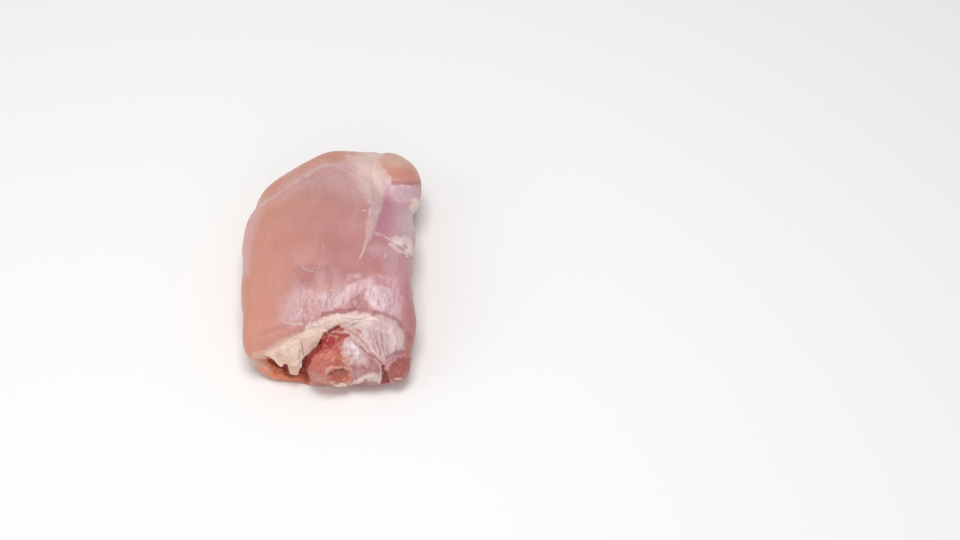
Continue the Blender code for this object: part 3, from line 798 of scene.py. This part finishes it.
BONE_MARKS = (
    patch("rust", (328, 352, 338, 348, 346, 352, 348, 362, 338, 362, 328, 360), 6, 0.3, 3),
    patch("pale", (308, 376, 316, 372, 326, 373, 330, 384, 312, 386), 5, 0.35, 2),
    patch("pale", (340, 358, 350, 357, 358, 362, 360, 374, 353, 376, 347, 367), 4, 0.95, 2),
    patch("cartilage", (343, 346, 343, 341, 348, 339, 351, 342, 356, 345, 362, 349, 366, 356, 362, 360,
        356, 362, 352, 357, 348, 354, 344, 354), 3.5, 0.85, 4, rise=0.4),
    line("cartilage", (345, 354, 349, 358, 355, 364), 1, 1.5, 4, 0.5, 3, rise=0.2),
    line("pale", (326, 373, 329, 369, 334, 367, 342, 367, 351, 369), 0.4, 0.3, 1.6, 0.7, 1.5, rise=0.35),
    patch("pit", (330, 374, 335, 371, 342, 370, 349, 371, 354, 375, 350, 379, 342, 380, 334, 379), 2, 0.9,
        rise=-1.2),
    # Painted shade along the pit's top edge.
    line("shadow_and_blood", (329, 375, 333, 372, 340, 370, 347, 371), 0.4, 0.4, 1.2, 0.8, rise=-0.4),
    patch("rust", (339, 374, 346, 373, 349, 376, 344, 379), 2.5, 0.7),
    line("pale", (330, 382, 337, 384, 345, 384, 353, 381), 0.8, 0.9, 1.6, 0.7, rise=0.4),
    # Painted shade along the bone's left side, in the gap beside the flap, with some blood.
    line("shadow_and_blood", (304, 384, 304, 371, 307, 361, 312, 354, 317, 348, 322, 343), 2.3, 1.4, 2.4, 1, 1.2,
        rise=-0.3),
    patch("blood", (320, 350, 326, 339, 334, 337, 337, 342, 332, 347, 326, 351), 3, 0.85, 2),
    line("blood", (334, 345, 340, 342, 346, 340), 0.8, 0.6, 1.8, 0.6),
)

BONE_RELIEF = (
    ("torn", 0.40, 4.5, 22, EVEN),
    ("torn", 0.28, 1.6, 21, EVEN),
    ("torn", 0.16, 0.7, 23, EVEN),
    ("cartilage", 0.16, 1.8, 24, EVEN),
)


def make_bone(frame):
    thing = joined("femur_skin", [frame["nodes"]["femur"].data])
    keep_largest(remeshed(thing, BONE_VOXEL, BONE_SMOOTHING))
    make_finer(thing, fine_points(read_skin(thing)))
    thing.data.shade_smooth()
    skin = read_skin(thing)
    heights, tissues = marked(skin, BONE_MARKS)
    tissues["torn"] = bare_share(skin.points) * (1 - tissues["cartilage"])
    store(thing, tissues)
    skin = raise_by(skin, heights + relief(skin, tissues, BONE_RELIEF))
    give(thing, bone_material())
    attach(thing, "root")
    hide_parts("femur")
    return skin


# ---------------------------------------------------------------- loose tissue

# The middle of the flap and its half width, in pixels.
FLAP_CENTRE = (290, 350)
FLAP_SPAN = 30
FLAP_VOXEL = 0.20 * MM
FLAP_SMOOTHING = 4
FLAP_THICKNESS = 0.9 * MM
FLAP_CLEARANCE = 0.3 * MM
FLAP_LIFT = 0.6 * MM
FLAP_CURL = 0.5 * MM
FLAP_EDGE_SHARE = 0.4
# How far these reach from the sheet's torn edge, or from its root, in pixels.
FLAP_CURL_REACH = 9
FLAP_THIN_REACH = 5
FLAP_ROOT_REACH = 7
# Its waves: height, size and seed.
FLAP_WAVES = ((0.18 * MM, 2.2 * MM, 42), (0.35 * MM, 6 * MM, 43))
FLAP_CURL_GRAIN = (4 * MM, 41)
# Where the flesh under it is read: how many times along it, and at these shares from root to edge.
FLAP_READINGS = 16
FLAP_READING_REACHES = (0.05, 0.3, 0.55, 0.75)
FLAP_SLIT = (300, 339, 302, 344, 303, 349, 303, 356)
FLAP_MARKS = (
    patch("warm", (262, 350, 272, 348, 276, 358, 284, 366, 290, 376, 300, 376, 298, 368, 288, 360,
        280, 352), 4, 0.7, 2),
    patch("pale", (284, 346, 296, 340, 301, 342, 300, 354, 290, 354), 4, 0.6, 2),
    patch("pink", (303, 340, 318, 331, 323, 334, 318, 344, 306, 357, 303, 354), 2.5, 0.9, 1.5),
    line("pink", (266, 352, 276, 345, 290, 339, 302, 334), 0.8, 1.2, 3, 0.8, 1.5),
    # The slit is a fold, darkened with painted shade.
    line("shade", FLAP_SLIT, 0.2, 0.4, 1.4, 0.5, 1.2, rise=-0.35),
)


def depth_terms(pixels):
    """The terms of a smooth surface over pixels."""
    x, y = (np.array(pixels) - FLAP_CENTRE).T / FLAP_SPAN
    return np.stack([np.ones_like(x), x, y, x * x, x * y, y * y], axis=1)


def flap_depth(skin):
    """A function that gives how far from the camera the flap lies at each of some pixels."""
    root = rounded(points_of(FLAP_ROOT))
    edge = rounded(points_of(FLAP_EDGE))[::-1]
    spots = []
    for share in np.linspace(0.05, 0.95, FLAP_READINGS):
        start = root[int(share * (len(root) - 1))]
        end = edge[int(share * (len(edge) - 1))]
        spots += [start * (1 - reach) + end * reach for reach in FLAP_READING_REACHES]
    depths = [(skin.hit(spot)[0] - camera_place()).length for spot in spots]
    weights, *_ = np.linalg.lstsq(depth_terms(spots), np.array(depths), rcond=None)
    return lambda pixels: depth_terms(pixels) @ weights


def flat_sheet(name, outline, thickness, voxel):
    """A flat sheet with this outline in pixels, in true size, centred on the plane z = 0."""
    shape = bmesh.new()
    shape.faces.new([shape.verts.new((x * PIXEL, -y * PIXEL, 0)) for x, y in outline])
    thing = new_object(name, closed(shape, bpy.data.meshes.new(name)))
    solid = thing.modifiers.new("Solidify", "SOLIDIFY")
    solid.thickness = thickness
    solid.offset = 0.0
    return remeshed(thing, voxel, FLAP_SMOOTHING)


def make_flap(meat):
    """The torn sheet of fat that hangs from the collar over the hollow beside the bone."""
    outline = points_of((*FLAP_EDGE, *FLAP_ROOT))
    thing = flat_sheet("fat_flap", outline, FLAP_THICKNESS, FLAP_VOXEL)
    flat = vectors_of(thing.data.vertices, "co")
    pixels = flat[:, :2] * (1, -1) / PIXEL
    from_edge, _ = distance_to(points_of(FLAP_EDGE), pixels)
    from_root, _ = distance_to(points_of(FLAP_ROOT), pixels)
    inner = smoothstep(0, FLAP_THIN_REACH, from_edge)
    free = smoothstep(0, FLAP_ROOT_REACH, from_root)
    curl = FLAP_CURL * (1 - smoothstep(0, FLAP_CURL_REACH, from_edge)) * grain(flat, *FLAP_CURL_GRAIN)
    waves = sum(height * grain(flat, size, seed) for height, size, seed in FLAP_WAVES)
    # The root is sunk into the collar, and the rest stays clear of the flesh.
    sunk = FLAP_THICKNESS / 2 * (1 - free)
    hangs = flap_depth(meat)(pixels) - (FLAP_LIFT + curl + waves) * free + sunk
    flesh = np.array([nearness(meat.hit(pixel)) for pixel in pixels])
    clear = flesh + sunk - (FLAP_THICKNESS / 2 + FLAP_CLEARANCE) * free
    rays = np.array([ray_of(pixel) for pixel in pixels])
    # Towards the torn edge the sheet thins.
    thinned = FLAP_EDGE_SHARE + (1 - FLAP_EDGE_SHARE) * inner
    reach = np.minimum(hangs, clear) - flat[:, 2] * thinned
    skin = with_points(thing, np.array(camera_place()) + rays * reach[:, None])
    thing.data.shade_smooth()
    heights, tissues = marked(skin, FLAP_MARKS)
    store(thing, tissues)
    raise_by(skin, heights)
    return dressed(thing, fat_material())


def dressed(thing, material):
    """Gives a loose piece its material, and lets it ride with the meat."""
    give(thing, material)
    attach(thing, "root")
    return thing


# Strands of connective tissue that lie on the surface: their pixels, and half width in millimetres.
STRANDS = (
    ((303, 265, 304, 269, 309, 271, 314, 271), 0.22),
    ((306, 267, 311, 269, 317, 267), 0.12),
    ((318, 270, 320, 265, 321, 260), 0.16),
    ((323, 242, 324, 249), 0.18),
    ((349, 189, 356, 190), 0.28),
    ((361, 210, 367, 211), 0.4),
    ((385, 253, 385, 259), 0.42),
    ((318, 219, 333, 221, 346, 223, 362, 226), 0.05),
    ((302, 232, 309, 233), 0.09),
    ((285, 294, 301, 278, 313, 262), 0.05),
    ((281, 310, 295, 284, 304, 271), 0.05),
    ((276, 199, 290, 190, 308, 180, 322, 176), 0.07),
    ((300, 178, 316, 170, 330, 164), 0.1),
    ((321, 166, 339, 167, 357, 172), 0.1),
    ((318, 170, 336, 172, 352, 178), 0.06),
    ((372, 234, 381, 236, 391, 240), 0.2),
    ((296, 196, 316, 186, 338, 180), 0.05),
    ((355, 194, 366, 198, 372, 206), 0.09),
    ((347, 330, 353, 335, 358, 341, 364, 347, 370, 353), 0.3),
    ((352, 331, 358, 337, 363, 344), 0.16),
    ((346, 327, 354, 328, 360, 332), 0.16),
    ((338, 322, 344, 326, 346, 332), 0.12),
    ((331, 325, 334, 329, 333, 334), 0.12),
    ((326, 332, 329, 335, 334, 336), 0.12),
    ((371, 330, 374, 340, 380, 352, 384, 361), 0.12),
    ((384, 328, 385, 338, 388, 348), 0.12),
)
STRAND_SIDES = 8
STRAND_STEP = 0.6
STRAND_LEAST_RINGS = 6
STRAND_FLATNESS = 0.55
# A strand's width: what is left of it at the ends, how slowly it fades to there, and its swellings.
STRAND_TIP = 0.12
STRAND_FADE = 0.4
STRAND_SWELL = 0.25
STRAND_SWELL_RATE = 9


def spots_along(path):
    """Evenly spaced pixels along a path."""
    course = rounded(points_of(path))
    lengths = np.linalg.norm(np.diff(course, axis=0), axis=1)
    marks = np.concatenate([[0.0], np.cumsum(lengths)])
    count = max(STRAND_LEAST_RINGS, int(marks[-1] / STRAND_STEP))
    reached = np.linspace(0, 1, count) * marks[-1]
    return np.stack([np.interp(reached, marks, course[:, axis]) for axis in (0, 1)], axis=1)


def strand(shape, skin, path, width):
    """A thin flat cord along the surface, pointed at both ends."""
    hits = [hit for hit in map(skin.hit, spots_along(path)) if hit[0]]
    rings = []
    for index, (place, normal) in enumerate(hits):
        share = index / (len(hits) - 1)
        ahead = hits[min(index + 1, len(hits) - 1)][0] - hits[max(index - 1, 0)][0]
        side = normal.cross(ahead).normalized()
        fade = max(STRAND_TIP, math.sin(math.pi * share) ** STRAND_FADE)
        half = width * MM * fade * (1 + STRAND_SWELL * math.sin(STRAND_SWELL_RATE * share))
        ring = []
        for step in range(STRAND_SIDES):
            angle = math.tau * step / STRAND_SIDES
            offset = side * math.cos(angle) * half + normal * math.sin(angle) * half * STRAND_FLATNESS
            ring.append(shape.verts.new(place + offset))
        rings.append(ring)
    for first, second in zip(rings, rings[1:]):
        for step in range(STRAND_SIDES):
            after = (step + 1) % STRAND_SIDES
            shape.faces.new((first[step], first[after], second[after], second[step]))
    shape.faces.new(rings[0][::-1])
    shape.faces.new(rings[-1])


def make_strands(meat):
    """The fine cords and hair-thin lines of connective tissue, as one piece."""
    shape = bmesh.new()
    for path, width in STRANDS:
        strand(shape, meat, path, width)
    bmesh.ops.recalc_face_normals(shape, faces=shape.faces)
    mesh = closed(shape, bpy.data.meshes.new("tissue_strands"))
    mesh.shade_smooth()
    return dressed(new_object("tissue_strands", mesh), strand_material())


# Beads and scraps of fat: pixel, half length and half width in millimetres.
BEADS = (
    ((414, 205), 1.6, 0.9), ((360, 329), 0.5, 0.4), ((341, 384), 2.4, 1.1), ((336, 385), 1.4, 0.9),
    ((398, 379), 0.8, 0.5),
)
BEAD_UNEVEN = 0.35
BEAD_FLATNESS = 0.6
BEAD_SEED = 51


def make_beads(meat, bone):
    """Small beads and scraps of fat that lie on the flesh and the bone, as one piece."""
    shape = bmesh.new()
    for index, (pixel, long, short) in enumerate(BEADS):
        place, normal = min((skin.hit(pixel) for skin in (meat, bone)), key=nearness)
        side = normal.cross(Vector((0, 0, 1))).normalized()
        up = normal.cross(side)
        made = bmesh.ops.create_icosphere(shape, subdivisions=3, radius=1.0)["verts"]
        spots = np.array([vert.co for vert in made])
        swell = 1 + BEAD_UNEVEN * grain(spots, 0.9, BEAD_SEED + index)
        for vert, spot, factor in zip(made, spots, swell):
            offset = side * spot[0] * long + up * spot[1] * short + normal * spot[2] * short * BEAD_FLATNESS
            vert.co = place + offset * factor * MM
    mesh = closed(shape, bpy.data.meshes.new("fat_beads"))
    mesh.shade_smooth()
    return dressed(new_object("fat_beads", mesh), fat_material())


def nearness(hit):
    """How far a ray's hit is from the camera, for choosing the first of several."""
    place, _ = hit
    return (place - camera_place()).length if place else math.inf


# ---------------------------------------------------------------- materials

# The range over which a tissue's edge is read where it is crisp and where it is blurred, how much
# noise ruffles the blurred one, and the range of the noise that thins a tissue.
CRISP_RANGE = (0.22, 0.78)
BLURRED_RANGE = (0.1, 0.9)
BLURRED_RUFFLE = 0.6
THINNING_RANGE = (0.35, 0.62)

SUBSURFACE_RADIUS = (1.0, 0.4, 0.3)
SUBSURFACE_SCALE = 2.0 * MM
COAT_ROUGHNESS = 0.25
WET_IOR = 1.38


class Nodes:
    """A short way to write a material's nodes."""

    def __init__(self, name):
        self.material = bpy.data.materials.new(name)
        self.material.use_nodes = True
        self.tree = self.material.node_tree
        self.shader = self.tree.nodes["Principled BSDF"]
        self.place = self.add("ShaderNodeTexCoord").outputs["Object"]

    def add(self, kind):
        return self.tree.nodes.new(kind)

    def link(self, value, socket):
        """Sets a socket to a number, a colour or another node's output."""
        if isinstance(value, bpy.types.NodeSocket):
            self.tree.links.new(value, socket)
        elif isinstance(value, tuple) and len(value) == 3 and socket.type == "RGBA":
            socket.default_value = (*value, 1.0)
        else:
            socket.default_value = value

    def attribute(self, name):
        node = self.add("ShaderNodeAttribute")
        node.attribute_name = name
        return node.outputs["Fac"]

    def math(self, operation, first, second):
        node = self.add("ShaderNodeMath")
        node.operation = operation
        self.link(first, node.inputs[0])
        self.link(second, node.inputs[1])
        return node.outputs[0]

    def mix(self, share, first, second):
        node = self.add("ShaderNodeMix")
        node.data_type = "RGBA"
        self.link(share, node.inputs["Factor"])
        self.link(first, node.inputs["A"])
        self.link(second, node.inputs["B"])
        return node.outputs["Result"]

    def made(self, kind, output, **inputs):
        """The output of a new node with these inputs, whose names have _ for a space."""
        node = self.add(kind)
        for name, value in inputs.items():
            self.link(value, node.inputs[name.replace("_", " ")])
        return node.outputs[output]

    def noise(self, size, detail, stretch=EVEN, rough=0.5, twist=0.0, turn=0.0):
        """Noise from about 0.3 to 0.7 with bumps of this size."""
        place = self.made("ShaderNodeMapping", "Vector", Vector=self.place, Scale=stretch,
                          Rotation=(0, 0, turn))
        return self.made("ShaderNodeTexNoise", "Fac", Vector=place, Scale=1 / size, Detail=detail,
                         Roughness=rough, Distortion=twist)

    def spread(self, value, low, high, start=0.0, end=1.0):
        """Carries the range low to high over to start to end."""
        return self.made("ShaderNodeMapRange", "Result", Value=value, From_Min=low, From_Max=high,
                         To_Min=start, To_Max=end)

    def crisp(self, name, ragged):
        """A tissue's share with its soft edge broken up by noise."""
        shift = self.math("SUBTRACT", ragged, 0.5)
        return self.spread(self.math("ADD", self.attribute(name), shift), *CRISP_RANGE)

    def blurred(self, name, ragged):
        """A tissue's share with a wide edge that noise only ruffles."""
        shift = self.math("MULTIPLY", self.math("SUBTRACT", ragged, 0.5), BLURRED_RUFFLE)
        return self.spread(self.math("ADD", self.attribute(name), shift), *BLURRED_RANGE)

    def part(self, name, uneven, depth):
        """A tissue's share, thinned by up to this depth where the noise is low."""
        kept = self.spread(uneven, *THINNING_RANGE, 1 - depth, 1.0)
        return self.math("MULTIPLY", self.attribute(name), kept)

    def thinned(self, name, factor):
        """A tissue's share times a factor."""
        return self.math("MULTIPLY", self.attribute(name), factor)

    def tones(self, noise, low, high, first, second):
        """Two colours that follow noise: the first where it is low, the second where it is high."""
        return self.mix(self.spread(noise, low, high), first, second)

    def layered(self, base, layers):
        """The base colour with layers over it, each given as its share and its colour."""
        for share, shade in layers:
            base = self.mix(share, base, shade)
        return base

    def wet(self, base, rough, bumps, subsurface, coat):
        """The material of a wet tissue, which lets light in a little way."""
        normal = None
        for height, depth in bumps:
            under = {"Normal": normal} if normal else {}
            normal = self.made("ShaderNodeBump", "Normal", Height=height, Distance=depth, **under)
        settings = {
            "Base Color": base,
            "Roughness": rough,
            "Normal": normal,
            "Subsurface Weight": subsurface,
            "Subsurface Radius": SUBSURFACE_RADIUS,
            "Subsurface Scale": SUBSURFACE_SCALE,
            "Coat Weight": coat,
            "Coat Roughness": COAT_ROUGHNESS,
            "IOR": WET_IOR,
        }
        for name, value in settings.items():
            self.link(value, self.shader.inputs[name])
        return self.material


def colour(red, green, blue):
    """A colour as the screen shows it, from 0 to 255, as the linear one that shaders take."""
    return tuple(((c / 255 + 0.055) / 1.055) ** 2.4 for c in (red, green, blue))


PINK = colour(201, 146, 139)
# Deep pink: the flesh's own deeper tone, and painted shade where the deep patches lie.
DEEP_PINK_AND_SHADE = colour(186, 124, 120)
WARM = colour(210, 144, 123)
MAUVE = colour(197, 138, 142)
LILAC = colour(188, 126, 144)
VEIL = colour(218, 186, 190)
HAZE = colour(206, 176, 187)
# Whitish film: partly its own colour, partly a painted highlight.
FILM_AND_HIGHLIGHT = colour(222, 196, 205)
# Painted shade in the fine creases and folds.
CREASE_SHADE = colour(178, 126, 140)
SHADE = colour(150, 92, 96)
FAT = colour(224, 188, 168)
FAT_PALE = colour(233, 209, 197)
FAT_WARM = colour(224, 170, 145)
COLLAR = colour(208, 172, 162)
COLLAR_PALE = colour(228, 202, 193)
FAT_PINK = colour(220, 182, 172)
CREAM = colour(236, 213, 199)
# Painted shade for the slit in the flap.
SLIT_SHADE = colour(168, 120, 100)
SINEW = colour(226, 196, 193)
STRAND = colour(234, 207, 201)
STRAND_PINK = colour(213, 163, 155)
CAPSULE = colour(214, 183, 184)
CAPSULE_DEEP = colour(196, 154, 160)
BRIGHT = colour(233, 214, 209)
SHEATH = colour(200, 152, 151)
SHEATH_DEEP = colour(180, 123, 123)
# The knob's own plum colour, also used as painted shadow along the right edge.
PLUM_AND_SHADE = colour(158, 82, 78)
PLUM_PALE_AND_SHADE = colour(186, 112, 108)
RAW = colour(182, 88, 80)
RAW_PALE = colour(198, 114, 101)
HOLLOW = colour(180, 80, 50)
HOLLOW_PALE = colour(212, 122, 88)
RUST = colour(224, 134, 94)
# Painted shade in hollows, gaps and tears, and a painted contact shadow, mixed with clotted blood.
SHADOW_AND_BLOOD = colour(132, 26, 10)
SHADOW_AND_BLOOD_PALE = colour(150, 52, 34)
BLOOD = colour(166, 28, 34)
CARTILAGE = colour(204, 168, 170)
CARTILAGE_PALE = colour(230, 215, 217)
PIT = colour(182, 102, 78)
BONE_SHAFT = colour(214, 176, 164)


def meat_material():
    nodes = Nodes("raw_meat")
    fibres = nodes.noise(0.9 * MM, 4, (1.0, 0.12, 1.0), 0.6, turn=0.25)
    streaks = nodes.noise(1.6 * MM, 5, (1.0, 0.3, 1.0), 0.6)
    blotches = nodes.noise(11 * MM, 4)
    flecks = nodes.noise(1.2 * MM, 5, rough=0.6)
    fine = nodes.noise(0.5 * MM, 4, rough=0.6)
    folds = nodes.noise(2.4 * MM, 6, (1.0, 0.4, 0.4), 0.6, 0.5)
    clots = nodes.noise(2.4 * MM, 6, rough=0.65)
    mist = nodes.noise(5 * MM, 6, (1.0, 0.4, 1.0), 0.6, 0.8, 0.5)
    base = nodes.layered(PINK, (
        (nodes.spread(blotches, 0.35, 0.68, 0.0, 0.6), DEEP_PINK_AND_SHADE),
        (nodes.attribute("mauve"), MAUVE),
        (nodes.attribute("warm"), WARM),
        # Deep pink tone, and painted shade on the near slope and along the right edge.
        (nodes.attribute("deep_pink_and_shade"), DEEP_PINK_AND_SHADE),
        (nodes.attribute("lilac"), LILAC),
        (nodes.spread(fibres, 0.35, 0.7, 0.0, 0.22), DEEP_PINK_AND_SHADE),
        (nodes.spread(mist, 0.48, 0.72, 0.0, 0.14), VEIL),
        (nodes.part("veil", streaks, 0.45), VEIL),
        # Whitish film, partly its own colour and partly a painted highlight.
        (nodes.part("film_and_highlight", streaks, 0.6), FILM_AND_HIGHLIGHT),
        (nodes.part("haze", streaks, 0.35), HAZE),
        (nodes.crisp("fat", flecks), nodes.tones(clots, 0.36, 0.62, COLLAR, COLLAR_PALE)),
        (nodes.blurred("capsule", flecks), nodes.tones(folds, 0.34, 0.62, CAPSULE_DEEP, CAPSULE)),
        (nodes.blurred("sheath", flecks), nodes.tones(folds, 0.38, 0.62, SHEATH_DEEP, SHEATH)),
        (nodes.part("cream", folds, 0.35), CREAM),
        (nodes.part("bright", folds, 0.5), BRIGHT),
        # Painted shade in the fine creases and folds.
        (nodes.thinned("crease", 0.5), CREASE_SHADE),
        (nodes.attribute("shade"), SHADE),
        # The knob's own plum colour, and painted shadow along the right edge beside it.
        (nodes.blurred("plum_and_shade", flecks), nodes.tones(flecks, 0.4, 0.66, PLUM_AND_SHADE, PLUM_PALE_AND_SHADE)),
        (nodes.blurred("hollow", flecks), nodes.tones(flecks, 0.36, 0.66, HOLLOW, HOLLOW_PALE)),
        (nodes.crisp("raw", flecks), nodes.tones(flecks, 0.36, 0.66, RAW, RAW_PALE)),
        (nodes.part("rust", flecks, 0.4), RUST),
        # Painted shade in the hollow, gaps and tears and along the bottom edge, with clotted blood in the
        # torn flesh.
        (nodes.blurred("shadow_and_blood", flecks), nodes.tones(flecks, 0.4, 0.7, SHADOW_AND_BLOOD, SHADOW_AND_BLOOD_PALE)),
        (nodes.part("sinew", streaks, 0.5), SINEW),
        (nodes.crisp("blood", flecks), BLOOD),
    ))
    rough = nodes.spread(nodes.noise(3 * MM, 5), 0.35, 0.65, 0.34, 0.52)
    bumps = ((fibres, 0.10 * MM), (flecks, 0.10 * MM), (fine, 0.05 * MM))
    return nodes.wet(base, rough, bumps, subsurface=0.25, coat=0.26)


def bone_material():
    nodes = Nodes("raw_bone")
    flecks = nodes.noise(0.9 * MM, 5, rough=0.65)
    patches = nodes.noise(3.0 * MM, 5, rough=0.6, twist=0.6)
    torn = nodes.tones(patches, 0.38, 0.62, RAW, RAW_PALE)
    torn = nodes.mix(nodes.spread(flecks, 0.45, 0.7, 0.0, 0.18), torn, RUST)
    base = nodes.layered(BONE_SHAFT, (
        (nodes.crisp("torn", flecks), torn),
        (nodes.part("rust", flecks, 0.5), RUST),
        (nodes.part("pale", flecks, 0.6), nodes.tones(flecks, 0.35, 0.65, FAT_WARM, FAT_PALE)),
        (nodes.blurred("cartilage", patches), nodes.tones(patches, 0.38, 0.6, CARTILAGE, CARTILAGE_PALE)),
        (nodes.crisp("pit", flecks), PIT),
        (nodes.part("shadow_and_blood", flecks, 0.2), SHADOW_AND_BLOOD),
        # Painted shade along the bone's left side and the pit's edge, with some blood.
        (nodes.part("blood", patches, 0.6), BLOOD),
    ))
    rough = nodes.spread(flecks, 0.3, 0.7, 0.30, 0.50)
    return nodes.wet(base, rough, ((flecks, 0.22 * MM),), subsurface=0.2, coat=0.4)


def fat_material():
    nodes = Nodes("raw_fat")
    flecks = nodes.noise(0.9 * MM, 5, rough=0.6)
    patches = nodes.noise(3.0 * MM, 5, twist=0.5)
    base = nodes.layered(nodes.tones(patches, 0.38, 0.62, FAT, FAT_PALE), (
        (nodes.thinned("pale", 0.5), FAT_PALE),
        (nodes.thinned("warm", 0.7), FAT_WARM),
        (nodes.spread(flecks, 0.5, 0.75, 0.0, 0.35), FAT_WARM),
        (nodes.thinned("pink", 0.8), FAT_PINK),
        # Painted shade in the slit.
        (nodes.thinned("shade", 0.8), SLIT_SHADE),
    ))
    rough = nodes.spread(patches, 0.35, 0.65, 0.36, 0.55)
    return nodes.wet(base, rough, ((patches, 0.15 * MM), (flecks, 0.12 * MM)), subsurface=0.35, coat=0.25)


def strand_material():
    nodes = Nodes("raw_strand")
    flecks = nodes.noise(1.5 * MM, 5, rough=0.6)
    base = nodes.tones(flecks, 0.38, 0.66, STRAND_PINK, STRAND)
    rough = nodes.spread(flecks, 0.35, 0.65, 0.30, 0.45)
    return nodes.wet(base, rough, ((flecks, 0.05 * MM),), subsurface=0.3, coat=0.3)


# ---------------------------------------------------------------- stage and light

FLOOR_COLOUR = colour(246, 246, 245)
FLOOR_ROUGHNESS = 0.9
FLOOR_SPECULAR = 0.1
FLOOR_HALF_SIZE = 2.0

# The lamps, which all point at the origin: name, place, size and power.
LAMPS = (
    ("overhead", (0.0, -0.11, 0.9), (0.42, 0.34), 4.5),
    ("left_fill", (-0.8, -0.3, 0.6), (0.6, 0.6), 1.3),
    ("front_fill", (0.1, -0.8, 0.4), (0.6, 0.4), 0.9),
)
SKY_STRENGTH = 0.42


def make_floor():
    shape = bmesh.new()
    bmesh.ops.create_grid(shape, x_segments=1, y_segments=1, size=FLOOR_HALF_SIZE)
    floor = new_object("floor", closed(shape, bpy.data.meshes.new("floor")))
    nodes = Nodes("floor")
    nodes.link(FLOOR_COLOUR, nodes.shader.inputs["Base Color"])
    nodes.link(FLOOR_ROUGHNESS, nodes.shader.inputs["Roughness"])
    nodes.link(FLOOR_SPECULAR, nodes.shader.inputs["Specular IOR Level"])
    give(floor, nodes.material)


def make_lamp(name, place, size, power):
    data = bpy.data.lights.new(name, "AREA")
    data.shape = "RECTANGLE"
    data.size, data.size_y = size
    data.energy = power
    lamp = bpy.data.objects.new(name, data)
    bpy.context.scene.collection.objects.link(lamp)
    lamp.location = place
    lamp.rotation_mode = "QUATERNION"
    lamp.rotation_quaternion = (-Vector(place)).to_track_quat("-Z", "Y")


def make_light():
    for lamp in LAMPS:
        make_lamp(*lamp)
    world = bpy.data.worlds.new("world")
    bpy.context.scene.world = world
    world.use_nodes = True
    background = world.node_tree.nodes["Background"]
    background.inputs["Color"].default_value = (1.0, 1.0, 1.0, 1.0)
    background.inputs["Strength"].default_value = SKY_STRENGTH
    view = bpy.context.scene.view_settings
    view.view_transform = "Standard"
    view.look = "None"


def main():
    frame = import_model()
    make_camera()
    make_light()
    make_floor()
    meat = make_meat(frame)
    bone = make_bone(frame)
    make_flap(meat)
    make_strands(meat)
    make_beads(meat, bone)


main()
